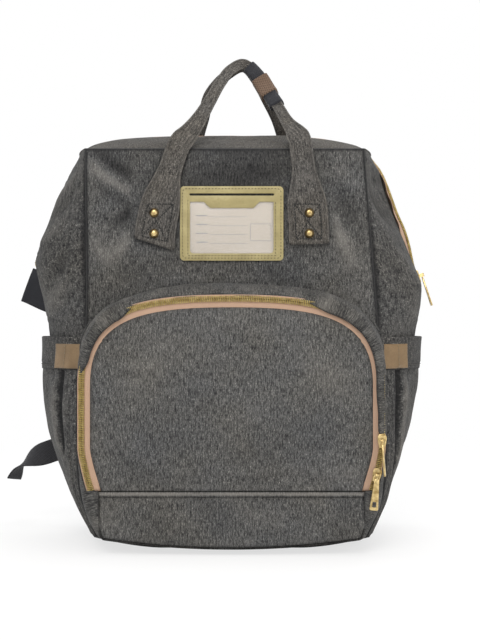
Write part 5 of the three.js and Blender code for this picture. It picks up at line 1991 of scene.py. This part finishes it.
    def zips(self) -> list[Object]:
        """Makes the two rows of the pocket's zip with their tapes.

        Returns:
            The tapes and the teeth.
        """
        made = []
        foot = SILL + 0.5
        rows = (
            ("outer", 0.6, 4.1, 3.1, "bag", "pocket_zip", 0.0),
            ("inner", 4.9, 14.5, 5.9, "pocket_flap", "flap_zip", 0.5),
        )
        for name, near, far, teeth, body, node, phase in rows:
            outer, inner = EDGE_LINE.arch(near, foot), EDGE_LINE.arch(far, foot)
            last = len(outer) - 1

            def tape(u: float, v: float, outer=outer, inner=inner, last=last) -> Point:
                """Returns the tape's place at a share across and along."""
                (xa, za), (xb, zb) = outer[round(u * last)], inner[round(u * last)]
                return lerp(xa, xb, v), -120.9 - 0.2 * math.sin(math.pi * v), lerp(za, zb, v)

            run = measured(outer)

            def weave(point: Point, u: float, v: float, run=run, last=last, wide=far - near) -> Flat:
                """Returns the cloth's own coordinates, run round the line."""
                return v * wide, run[round(u * last)]

            strip = Cloth(f"pocket zip tape {name}", last, 6, TAPE, (0, -1, 0), weave, 0.6)
            made.append(dress(strip.lay(tape), body, f"{node}_tape"))
            line = [Vector((x, -122.2, z)) for x, z in EDGE_LINE.arch(teeth, foot, 300)]
            chain = set_teeth(f"pocket zip teeth {name}", chain_row(line, FORWARD, phase), (3.1, 1.05, 2.2))
            made.append(dress(chain, body, f"{node}_teeth"))
        return made

    def sliders(self) -> list[Object]:
        """Makes the two sliders and their pulls.

        Returns:
            The sliders and pulls.
        """
        made = []
        for tier in ("upper", "lower"):
            made.append(refined(f"pocket_slider_{tier}", GOLD, 0.5, f"{tier}_slider"))
            made.append(refined(f"pocket_pull_{tier}", GOLD, 0.35, f"{tier}_pull"))
        return made

    def make(self) -> list[Object]:
        """Makes the pocket."""
        plain = [self.band(), self.seam_groove(), self.flap(), self.lower_panel()]
        return [*plain, self.sill_stitches(), self.flap_stitches(), *self.zips(), *self.sliders()]


# --- Main zip, holder, handles and straps ---


@dataclass
class SideZip:
    """The main zip's run down one side of the bag."""

    side: Side
    rise: Profile

    def stand(self, z: float) -> float:
        """Returns the half width of the chain's crest."""
        return self.side.girth(z) + self.rise.at(z)

    def make(self) -> list[Object]:
        """Makes the tapes and both rows of teeth.

        Returns:
            The tape and the teeth.
        """
        name, sign = self.side.name, self.side.sign
        low, high = self.side.zip_foot - 4, BODY_TOP + 1.5
        facing = Vector((sign, 0, 0.3)).normalized()

        def tape(u: float, v: float) -> Point:
            """Returns the tape's place at a share across and along."""
            y = lerp(-9.5, 9.5, u)
            z = lerp(low, high, v)
            drop = 1.4 + max(0.0, self.rise.at(z) - 0.8) * smooth(abs(y), 1.0, 9.0)
            wave = 0.5 * math.sin(z * 0.3) * smooth(abs(y), 3, 9)
            return sign * (self.stand(z) - drop + wave), y, z

        strip = Cloth(f"main zip tape {name}", 18, 90, TAPE, (sign, 0, 0), side_weave, 0.6)
        made = [dress(strip.lay(tape), "bag", f"side_zip_tape_{name}")]
        line = [lerp(low, high, i / 80) for i in range(81)]
        rows = []
        for y, phase in ((-1.35, 0.0), (1.35, 0.5)):
            rows += chain_row([Vector((sign * self.stand(z), y, z)) for z in line], facing, phase)
        teeth = set_teeth(f"main zip teeth {name}", rows, (3.2, 1.1, 2.4))
        return [*made, dress(teeth, "bag", f"side_zip_teeth_{name}")]


@dataclass
class NameHolder:
    """The sewn-on holder with a clear window over a ruled card."""

    middle: Flat = (0.0, 314.5)
    width: float = 100.0
    height: float = 72.0
    front: float = 82.5

    def outline(self, inset: float, corner: float = 6.0) -> list[Vector]:
        """Returns the holder's edge, stepped in by an inset.

        Args:
            inset: How far inside the line.
            corner: Radius of the corners.

        Returns:
            The edge's points, the first one again at the end.
        """
        x, z = self.width / 2 - inset, self.height / 2 - inset
        corner = max(1.0, corner - inset)
        points = []
        for k, (sx, sz) in enumerate(((1, 1), (-1, 1), (-1, -1), (1, -1))):
            for i in range(7):
                angle = math.pi / 2 * (k + i / 6)
                cx, cz = sx * (x - corner), sz * (z - corner)
                points.append((cx + corner * math.cos(angle), cz + corner * math.sin(angle)))
        points.append(points[0])
        mx, mz = self.middle
        return [Vector((mx + px, -self.front - 0.15, mz + pz)) for px, pz in points]

    def ruling(self) -> Object:
        """Prints plain rules, short bars and an empty rounded box on the card.

        Returns:
            The ruling.
        """
        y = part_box("name_holder_card")[0].y / MM - 0.06
        rows = [321.0 - row * 8.6 for row in range(4)]
        bars = [bar for z in rows for bar in ((-29.0, z + 1.2, 11.0, 1.1), (-3.0, z, 36.0, 0.4))]
        box = ((28, 314.2, 20, 0.5), (28, 297.8, 20, 0.5), (18, 306.0, 0.5, 16.4), (38, 306.0, 0.5, 16.4))
        mesh = bmesh.new()
        for x, z, wide, tall in (*bars, *box):
            move = Matrix.Translation(Vector((self.middle[0] + x, y, z)) * MM)
            size = Matrix.Diagonal((wide * MM, 0.1 * MM, tall * MM, 1.0))
            bmesh.ops.create_cube(mesh, size=1.0, matrix=move @ size)
        return place_piece("card ruling", mesh, INK, soft=False)

    def make(self) -> list[Object]:
        """Makes the holder, card, film and stitches.

        Returns:
            The holder's pieces.
        """
        parts = (("frame", HOLDER, 0.7), ("card", CARD, 0.1), ("film", FILM, 0.1))
        made = [refined(f"name_holder_{part}", finish, bevel) for part, finish, bevel in parts]
        corners = ((-42.4, 337.5), (-42.4, 283.3), (42.4, 283.3), (42.4, 337.5))
        window = [Vector((self.middle[0] + x, -self.front - 0.15, z)) for x, z in corners]
        places = sew_along(self.outline(2.4), FORWARD, 2.0, 1.2) + sew_along(window, FORWARD, 2.0, 1.2)
        sewn = stitch("name holder stitches", places, DARK_THREAD, 2.0, 0.7)
        return [*made, dress(sewn, "bag"), dress(self.ruling(), "bag")]


@dataclass
class Handle:
    """One carry handle with its two sewn patches, as a single strap."""

    name: str
    facing: int
    bulge: float
    taper: tuple[float, float] = (4.0, 8.0)
    foot: float = 294.0
    spread_at: float = 75.0
    leg_tops: tuple[float, float] = (52.0, 67.0)
    seat: float = 82.8
    crown: Flat = (12.0, 94.5)
    thickness: float = 5.0
    route: Route = field(init=False)
    grip: Route = field(init=False)

    def leg(self, sign: int, z: float) -> float:
        """Returns the middle of a leg's patch at a height."""
        top = self.leg_tops[0] if sign < 0 else self.leg_tops[1]
        rise = clamp((z - self.foot) / (BODY_TOP - self.foot), 0.0, 1.2)
        return sign * (self.spread_at - (self.spread_at - top) * rise**1.5)

    def __post_init__(self) -> None:
        """Plans the strap's way over the crown."""
        base = BODY_TOP + 0.3
        left, right = self.leg(-1, base), self.leg(1, base)
        middle, rise = self.crown

        def over(start: float, share: float, deep: float, high: float) -> Point:
            """Returns a stop of the way from one leg to the crown."""
            return lerp(start, middle, share), self.facing * lerp(5.0, self.seat, deep), base + rise * high

        b = self.bulge
        left_way = (
            (0.04, 0.99, 0.05),
            (0.16, 0.92, 0.15),
            (0.31 - 0.8 * b, 0.79, 0.31),
            (0.47 - 1.1 * b, 0.6, 0.52),
            (0.63 - 1.6 * b, 0.4, 0.74),
            (0.8 - 0.8 * b, 0.15, 0.92),
            (1.0, 0.0, 1.0),
        )
        right_way = (
            (0.75, 0.1, 0.86),
            (0.57, 0.22, 0.68),
            (0.38, 0.4, 0.49),
            (0.23, 0.66, 0.3),
            (0.07, 0.92, 0.14),
            (0.01, 0.99, 0.05),
        )
        arch = [over(left, *stop) for stop in left_way] + [over(right, *stop) for stop in right_way]
        y = self.facing * self.seat
        heights = (self.foot + 0.2, 312, 332, 352, 370, base)
        start = [(self.leg(-1, z), y, z) for z in heights]
        end = [(self.leg(1, z), y, z) for z in reversed(heights)]
        self.route = Route([*start, *arch, *end])
        self.grip = Route([start[-1], *arch, end[0]])

    def free_share(self, share: float) -> float:
        """Returns the share along the free strap for a share of the whole."""
        leg = (self.route.length - self.grip.length) / 2
        return clamp((share * self.route.length - leg) / self.grip.length)

    def width(self, share: float) -> float:
        """Returns the strap's width at a share of the whole route.

        Args:
            share: Share of the length.

        Returns:
            The width, in millimetres.
        """
        place, _ = self.route.at(share)
        if place.z < BODY_TOP:
            return lerp(38.0, 21.0, smooth(place.z, 328, 372))
        return self.grip_width(self.free_share(share))

    def grip_width(self, t: float) -> float:
        """Returns the width at a share of the free strap, narrowest at the crown."""
        side = self.taper[0] if t < 0.5 else self.taper[1]
        return lerp(9.5, 21.0, min(1.0, abs(2 * t - 1) / 0.92) ** side)

    def tilt(self, point: Vector) -> Vector:
        """Returns a point of the patch, its foot cut on a slant.

        Args:
            point: A point of the strap, in millimetres.

        Returns:
            The point in its place.
        """
        sign = -1 if point.x < 0 else 1
        if sign > 0 or point.z >= 340:
            return point
        slant = 0.22 * sign * (point.x - self.leg(sign, point.z)) * (1 - smooth(point.z, 296, 334))
        return point + Vector((0, 0, slant))

    def on_face(self, share: float, across: float, lift: float = 0.3) -> Vector:
        """Returns a point on the strap's outer face, across from -1 to 1."""
        middle, side, facing, _ = self.strap.frame(share)
        point = middle + side * across * self.width(share) / 2 + facing * (self.thickness / 2 + lift)
        return self.tilt(point)

    @property
    def strap(self) -> Band:
        """Returns the strap as a band."""
        toward = (0.0, float(self.facing), 0.0)
        size = fixed(self.thickness)
        return Band(f"{self.name} handle", self.route, SHADED_HANDLE_CLOTH, self.width, size, toward, 220, 28, 6.0)

    def make(self) -> list[Object]:
        """Makes the strap and its stitching.

        Returns:
            The strap, its rims and its stitches.
        """

        def shade(share: float, turn: float) -> float:
            """Returns the shade there, from 0 in a crease to 1 on a ridge."""
            across = math.cos(turn * 2 * math.pi)
            # painted shade in the groove along each edge
            groove = bump(abs(across), 0.9, 0.05)
            return clamp(0.5 - 0.3 * groove + 0.12 * ripple(share * 40, across, 3.0, 2))

        strap = self.strap.make(shade)
        for vert in strap.data.vertices:
            vert.co = self.tilt(Vector(vert.co) / MM) * MM
        body = f"{self.name}_handle"
        depth = self.facing * 85.6
        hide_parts(f"handle_{self.name}", f"handle_patch_{self.name}_left", f"handle_patch_{self.name}_right")
        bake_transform(strap)
        places = []
        toward = Vector((0, self.facing, 0))
        for across in (-0.88, -0.72, 0.72, 0.88):
            points = [self.on_face(lerp(0.012, 0.988, i / 240), across) for i in range(241)]
            places += sew_along(points, toward, 2.4, 1.1)
        low = [place for place in places if place[0].z < 386]
        free = [place for place in places if 389 <= place[0].z < 470]
        boxes = []
        for sign in (-1, 1):
            corners = []
            for dx, z in ((-0.7, 299.5), (0.7, 299.5), (0.7, 333), (-0.7, 333), (-0.7, 299.5)):
                corners.append(self.tilt(Vector((self.leg(sign, z) + dx * 17.5, depth, z))))
            for line in (corners, corners[:3:2], corners[1:4:2]):
                boxes += sew_along(line, toward, 2.2, 0.5)
        made = [strap]
        for edge, end in ((-0.97, "left"), (0.97, "right")):
            points = [self.on_face(lerp(0.004, 0.996, i / 130), edge, -0.5) for i in range(131)]
            # the rims' tone of 0.62 paints a highlight on them
            rim = cord(f"{self.name} handle rim {end}", Route(points, 3), SHADED_HANDLE_CLOTH, 2.0, toward, 260, 0.62)
            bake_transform(rim)
            made.append(rim)
        made.append(dress(stitch(f"{self.name} patch stitches", low, THREAD, 2.4, 0.9), "bag"))
        made.append(dress(stitch(f"{self.name} patch crosses", boxes, CROSS_THREAD, 2.4, 1.3), "bag"))
        made.append(dress(stitch(f"{self.name} handle stitches", free, THREAD, 2.3, 0.7), body))
        return made


@dataclass
class Wrap:
    """The dark wrap round the front handle, held by a ribbed ring."""

    handle: Handle

    def make(self) -> list[Object]:
        """Makes the wrap and the ring.

        Returns:
            The wrap and the ring.
        """
        grip, width = self.handle.grip, self.handle.grip_width

        def pad_width(share: float) -> float:
            """Returns the wrap's width."""
            return width(share) + 5.3

        def pad_thickness(share: float) -> float:
            """Returns the wrap's thickness, with its ripples."""
            return 10.2 + 0.6 * math.sin(share * 90)

        def ring_width(share: float) -> float:
            """Returns the ring's width."""
            return width(share) + 8.6

        pad = Band("handle wrap", grip, PAD, pad_width, pad_thickness, FORWARD, 60, 28, 4.0, 0.53, 0.74)
        ring = Band("wrap ring", grip, RING, ring_width, fixed(13.5), FORWARD, 40, 32, 5.0, 0.6, 0.68)
        return [
            dress(pad.make(), "front_handle", "handle_wrap_pad"),
            dress(ring.make(), "front_handle", "handle_wrap_ring"),
        ]


@dataclass
class Strap:
    """One shoulder strap: padded strap, webbing, lock and anchor."""

    side: Side
    pad_route: tuple[Point, ...]
    webbing_route: tuple[Point, ...]
    curl: float = 0.0

    def pad_width(self, t: float) -> float:
        """Returns the pad's width."""
        return lerp(30.0, 56.0, smooth(t, 0, 0.4)) - 17.0 * smooth(t, 0.6, 1.0)

    def make(self) -> list[Object]:
        """Makes the strap's pieces.

        Returns:
            The strap's pieces.
        """
        name = self.side.name
        body = f"{name}_strap"
        toward = Vector((0, 1, 0))

        def crown(t: float, u: float) -> float:
            """Returns how far the padding swells at a place."""
            across = clamp(1 - abs(u) / (self.pad_width(t) / 2 - 2.5))
            loose = 0.5 * ripple(t * 9, u * 0.04, self.side.sign, 2) * smooth(across, 0, 0.3)
            return 1.3 * smooth(across, 0, 0.5) + loose

        def shade(t: float, turn: float) -> float:
            """Returns the shade there, from 0 in a crease to 1 on a ridge."""
            # painted shade in the grooves near the pad's edges
            return clamp(0.5 - 0.35 * bump(abs(math.cos(turn * 2 * math.pi)), 0.86, 0.06))

        def twist(t: float) -> float:
            """Returns how far the loose end has curled, in radians."""
            return math.radians(self.curl) * smooth(t, 0.78, 1.0)

        route = Route(self.pad_route)
        band = Band(f"shoulder pad {name}", route, PAD, self.pad_width, fixed(6.4), toward, 120, 40, crown=crown)
        pad = dress(band.make(shade), body, f"strap_pad_{name}")
        route = Route(self.webbing_route)
        strip = Band(f"webbing {name}", route, WEBBING, fixed(25.0), fixed(1.8), toward, 140, 16, 6.0, twist=twist)
        webbing = dress(strip.make(), body, f"strap_webbing_{name}")
        lock = refined(f"ladder_lock_{name}", PLASTIC, 0.5, body)
        anchor = refined(f"strap_anchor_{name}", BODY, 0.8)
        places = []
        for edge in (-0.84, 0.84):
            points = []
            for i in range(121):
                t = lerp(0.02, 0.985, i / 120)
                place, across, facing, _ = band.frame(t)
                points.append(place + across * edge * self.pad_width(t) / 2 + facing * 3.5)
            places += sew_along(points, toward, 2.6, 1.2)
        sewn = stitch(f"shoulder pad stitches {name}", places, WEBBING, 2.6, 0.8)
        return [pad, webbing, lock, anchor, dress(sewn, body)]


# --- Settling the cloth ---


@dataclass(frozen=True)
class Settling:
    """Lets sewn cloth settle: held at its seams, cut a little full, and pushed by what fills it.

    The growth is a share of the cloth's size, and most is the move, in millimetres, that it nears but never reaches.
    """

    growth: float = 0.025
    pressure: float = 1.2
    frames: int = 18
    most: float = 3.0
    bend: float = 0.4

    def run(self, piece: Object, hold: Hold) -> None:
        """Runs the cloth and keeps its settled shape as a plain mesh.

        Args:
            piece: The cloth piece, a sheet with its wall as a modifier.
            hold: From 0 where a place, in millimetres, is free to 1 where it is sewn down.
        """
        data = piece.data.copy()
        trial = bpy.data.objects.new("trial cloth", data)
        bpy.context.scene.collection.objects.link(trial)
        pins = trial.vertex_groups.new(name="sewn")
        for vert in data.vertices:
            pins.add([vert.index], clamp(hold(vert.co / MM)), "REPLACE")
        cloth = trial.modifiers.new("settle", "CLOTH")
        settings = cloth.settings
        settings.quality = 6
        settings.mass = 0.25
        settings.air_damping = 4.0
        settings.tension_stiffness = settings.compression_stiffness = 20.0
        settings.shear_stiffness = 8.0
        settings.bending_stiffness = self.bend
        settings.vertex_group_mass = pins.name
        settings.shrink_min = settings.shrink_max = -self.growth
        settings.use_pressure = True
        settings.uniform_pressure_force = self.pressure
        cloth.collision_settings.use_collision = False
        cloth.point_cache.frame_end = self.frames
        scene = bpy.context.scene
        for step in range(1, self.frames + 1):
            scene.frame_set(step)
        shown = trial.evaluated_get(bpy.context.evaluated_depsgraph_get())
        settled = shown.to_mesh()
        soil_and_shade = piece.data.attributes[FOLD_SHADE].data
        for vert, after in zip(piece.data.vertices, settled.vertices):
            move = (after.co - vert.co) / MM
            move *= self.most / (self.most + move.length)
            out = move.dot(vert.normal)
            # painted highlight where the settled cloth moved out, painted shade where it sank in
            soil_and_shade[vert.index].value = clamp(soil_and_shade[vert.index].value + 0.04 * out)
            vert.co = vert.co + move * MM
        shown.to_mesh_clear()
        bpy.data.objects.remove(trial)
        bpy.data.meshes.remove(data)
        scene.frame_set(1)
        piece.data.update()


# --- Light, camera and the whole ---


@dataclass(frozen=True)
class Lamp:
    """A soft studio lamp."""

    name: str
    place: Point
    size: float
    power: float
    tint: Point = (1.0, 1.0, 1.0)

    def make(self, aim: Point) -> None:
        """Hangs the lamp and turns it to its aim.

        Args:
            aim: The point that it lights, in metres.
        """
        data = bpy.data.lights.new(self.name, "AREA")
        data.shape = "DISK"
        data.size = self.size
        data.energy = self.power
        data.color = self.tint
        lamp = bpy.data.objects.new(self.name, data)
        lamp.location = self.place
        lamp.rotation_euler = (Vector(aim) - Vector(self.place)).to_track_quat("-Z", "Y").to_euler()
        bpy.context.scene.collection.objects.link(lamp)


LAMPS = (
    Lamp("key", (-0.4, -2.25, 1.7), 1.6, 49.0, (1.0, 0.975, 0.95)),
    Lamp("fill", (1.7, -1.5, 0.9), 1.8, 22.0, (1.0, 0.97, 0.93)),
    Lamp("left rim", (-1.8, 0.5, 0.8), 1.4, 6.0, (0.92, 0.96, 1.0)),
    Lamp("back", (0.5, 2.3, 1.2), 1.8, 20.0, (0.97, 0.98, 1.0)),
    Lamp("top", (0.1, 0.2, 1.9), 1.5, 18.0),
)
AIM = (0.0, 0.0, 0.22)


@dataclass
class Studio:
    """The pale room: world, floor, lamps and camera."""

    world_light: float = 0.42
    floor_glow: float = 0.7
    eye: Point = (0.008, -1.38, 0.221)
    lens: float = 75.4

    def world(self) -> None:
        """Makes a white world that lights the bag softly."""
        world = bpy.data.worlds.new("studio")
        world.use_nodes = True
        world.node_tree.nodes.clear()
        graph = Graph(world.node_tree)
        ray = graph.add("ShaderNodeLightPath")
        seen = graph.math("MAXIMUM", ray.outputs["Is Camera Ray"], ray.outputs["Is Transmission Ray"])
        power = graph.add("ShaderNodeMapRange", {"Value": seen, "To Min": self.world_light, "To Max": 1.0}).outputs[0]
        sky = graph.add("ShaderNodeBackground", {"Color": (1.0, 1.0, 1.0, 1.0), "Strength": power})
        graph.add("ShaderNodeOutputWorld", {0: sky.outputs[0]})
        bpy.context.scene.world = world

    def floor(self) -> None:
        """Lays a pale floor that keeps the bag's shadow."""
        material = bpy.data.materials.new("pale floor")
        material.use_nodes = True
        material.node_tree.nodes.clear()
        graph = Graph(material.node_tree)
        ray = graph.add("ShaderNodeLightPath")
        cloth = graph.add("ShaderNodeBsdfDiffuse", {"Color": (0.86, 0.86, 0.86, 1.0)})
        glow = graph.add("ShaderNodeEmission", {"Color": (1.0, 1.0, 1.0, 1.0), "Strength": 1.0})
        place = graph.own_place()
        far = graph.add("ShaderNodeVectorMath", {0: place}, operation="LENGTH").outputs["Value"]
        near = {"Value": far, "From Min": 0.28, "From Max": 1.0, "To Min": self.floor_glow}
        glow_share = graph.add("ShaderNodeMapRange", near).outputs[0]
        share = graph.math("MULTIPLY", ray.outputs["Is Camera Ray"], glow_share)
        mixed = graph.add("ShaderNodeMixShader", {0: share, 1: cloth.outputs[0], 2: glow.outputs[0]})
        graph.add("ShaderNodeOutputMaterial", {0: mixed.outputs[0]})
        mesh = bmesh.new()
        bmesh.ops.create_grid(mesh, x_segments=1, y_segments=1, size=6.0)
        data = bpy.data.meshes.new("floor")
        mesh.to_mesh(data)
        mesh.free()
        data.materials.append(material)
        floor = bpy.data.objects.new("floor", data)
        floor.location.z = -0.0008
        bpy.context.scene.collection.objects.link(floor)

    def camera(self) -> None:
        """Sets the camera in front of the bag."""
        data = bpy.data.cameras.new("camera")
        data.lens = self.lens
        data.sensor_width = 36.0
        camera = bpy.data.objects.new("camera", data)
        camera.location = self.eye
        camera.rotation_euler = (math.pi / 2, 0.0, 0.0)
        bpy.context.scene.collection.objects.link(camera)
        bpy.context.scene.camera = camera

    def make(self) -> None:
        """Makes the room."""
        self.world()
        self.floor()
        for lamp in LAMPS:
            lamp.make(AIM)
        self.camera()
        bpy.context.scene.view_settings.view_transform = "Standard"


LEFT_RISE = Profile(((276, 1.8), (350, 1.6), (374, -0.4), (392, -2.4)))
RIGHT_RISE = Profile(
    ((254, 1.0), (276, 1.4), (298, 4.0), (315, 4.3), (330, 2.5), (358, 1.5), (374, -0.6), (384, -5.0), (392, -8.0))
)
PAD_SEAT = 84.3  # depth at which the shoulder straps lie on the back
STRAP_TOP = 368.0
LEFT_PAD = (
    (-24, PAD_SEAT, STRAP_TOP),
    (-26, PAD_SEAT + 3, STRAP_TOP - 28),
    (-42, PAD_SEAT + 8, STRAP_TOP - 68),
    (-84, PAD_SEAT + 13, STRAP_TOP - 98),
    (-140, PAD_SEAT + 16, STRAP_TOP - 116),
    (-192, PAD_SEAT + 17, STRAP_TOP - 120),
    (-227, PAD_SEAT + 17, STRAP_TOP - 108),
)
RIGHT_PAD = (
    (26, PAD_SEAT, STRAP_TOP),
    (27, PAD_SEAT + 3.5, STRAP_TOP - 28),
    (46, PAD_SEAT + 8, STRAP_TOP - 68),
    (84, PAD_SEAT + 13, STRAP_TOP - 113),
    (118, PAD_SEAT + 14, STRAP_TOP - 158),
    (134, PAD_SEAT + 12, STRAP_TOP - 198),
)
LEFT_WEBBING = (
    (-205, PAD_SEAT + 22.5, STRAP_TOP - 116),
    (-190, PAD_SEAT + 25.5, STRAP_TOP - 132),
    (-172, PAD_SEAT + 17, STRAP_TOP - 168),
    (-164, PAD_SEAT + 10, STRAP_TOP - 218),
    (-164, 88.5, 105),
    (-176, 88.2, 87),
    (-200, PAD_SEAT + 5, 77),
    (-222, PAD_SEAT + 10, 69),
    (-234, PAD_SEAT + 12, 60),
    (-241, PAD_SEAT + 13, 46),
)
RIGHT_WEBBING = (
    (130, PAD_SEAT + 19.5, STRAP_TOP - 168),
    (138, PAD_SEAT + 18.5, STRAP_TOP - 200),
    (145, PAD_SEAT + 12, STRAP_TOP - 228),
    (148, 88.5, 105),
    (146, 88.5, 85),
    (142, PAD_SEAT + 8, 50),
)


def front_hold(place: Vector) -> float:
    """Returns how firmly the front panel is sewn down at a place.

    Args:
        place: The place, in millimetres.

    Returns:
        From 0 where it is free to 1 where it is held.
    """
    edge = min(place.x + LEFT.seam.at(place.z), RIGHT.seam.at(place.z) - place.x, BODY_TOP - place.z)
    holder, patches = off_holder(place.x, place.z, 2), off_patches(place.x, place.z, 2)
    return 1 - min(smooth(edge, 3, 16), smooth(holder, 0, 12), smooth(patches, 0, 10), smooth(place.z, 235, 262))


def flap_hold(place: Vector) -> float:
    """Returns how firmly the flap is held at a place."""
    rim = abs(EDGE_LINE.leg_at(place.z, 14)) - abs(place.x)
    return 1 - min(smooth(rim, 2, 16), smooth(place.z, 64, 80), smooth(228 - 0.0011 * place.x**2 - place.z, 0, 16))


def side_hold(side: Side) -> Hold:
    """Returns how firmly one side is held at a place.

    Args:
        side: The side of the bag.

    Returns:
        The hold at a place.
    """

    def hold(place: Vector) -> float:
        """Returns how firmly a place is held."""
        seam = smooth(REACH - abs(place.y), 2, 16)
        zipped = max(smooth(abs(place.y), 9, 18), smooth(side.zip_foot - place.z, 0, 12))
        return 1 - min(seam, zipped, smooth(place.z, 205, 225), smooth(GUSSET_TOP - place.z, 4, 20))

    return hold


@dataclass
class Hardware:
    """The rivets with dark rings of painted shade under their heads, the main slider and the hidden stiffeners."""

    # foot radius, rim radius and depth of the dark ring, a painted shade round each rivet head
    washer: tuple[float, float, float] = (4.7, 4.3, 0.9)

    def rivet(self, node: str) -> list[Object]:
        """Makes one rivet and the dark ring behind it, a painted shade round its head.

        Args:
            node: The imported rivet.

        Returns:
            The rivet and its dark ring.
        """
        low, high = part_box(node)
        middle = (low + high) / 2
        foot, rim, depth = (size * MM for size in self.washer)
        turn = Matrix.Translation((middle.x, high.y - 0.0003, middle.z)) @ Matrix.Rotation(math.pi / 2, 4, "X")
        head = refined(node, GOLD, 0.4)
        mesh = bmesh.new()
        bmesh.ops.create_cone(mesh, cap_ends=True, segments=28, radius1=foot, radius2=rim, depth=depth, matrix=turn)
        washer = place_piece(node.replace("rivet_", "rivet washer ").replace("_", " "), mesh, RIVET_SHADE_METAL)
        return [head, dress(washer, "bag")]

    def make(self) -> list[Object]:
        """Makes the hardware, and gives the hidden stiffeners their materials.

        Returns:
            The rivets, dark rings, slider and pull.
        """
        made = []
        for node in ("left_lower", "left_upper", "right_lower", "right_upper"):
            made += self.rivet(f"rivet_{node}")
        made.append(refined("main_slider", GOLD, 0.5, "main_slider_body"))
        made.append(refined("main_pull", GOLD, 0.35, "main_pull_body"))
        for node, finish in (("base_board", BOARD), ("mouth_wire_front", WIRE), ("mouth_wire_back", WIRE)):
            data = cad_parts[node].data
            data.materials.clear()
            data.materials.append(finish.material())
        return made


def main() -> None:
    logging.basicConfig(level=logging.INFO)
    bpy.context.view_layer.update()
    front = Handle("front", -1, 0.0)
    builders = (
        Body(),
        SidePocket(LEFT),
        SidePocket(RIGHT),
        Lid(),
        FrontPocket(),
        SideZip(LEFT, LEFT_RISE),
        SideZip(RIGHT, RIGHT_RISE),
        NameHolder(),
        front,
        Handle("back", 1, 0.13),
        Wrap(front),
        Strap(LEFT, LEFT_PAD, LEFT_WEBBING, 118.0),
        Strap(RIGHT, RIGHT_PAD, RIGHT_WEBBING),
        Hardware(),
    )
    pieces = {}
    for builder in builders:
        for piece in builder.make():
            pieces[piece.name] = piece
            LOG.info("%s: %s, %d faces", type(builder).__name__, piece.name, len(piece.data.polygons))
    for name, settling, hold in (
        ("front-panel", Settling(frames=20), front_hold),
        ("front-flap", Settling(growth=0.006, pressure=0.2, frames=16, most=1.6, bend=2.0), flap_hold),
        ("side-gusset-left", Settling(growth=0.03, most=2.4), side_hold(LEFT)),
        ("side-gusset-right", Settling(growth=0.015, most=1.6), side_hold(RIGHT)),
    ):
        settling.run(pieces[name], hold)
    Studio().make()
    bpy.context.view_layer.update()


if __name__ == "__main__":
    main()
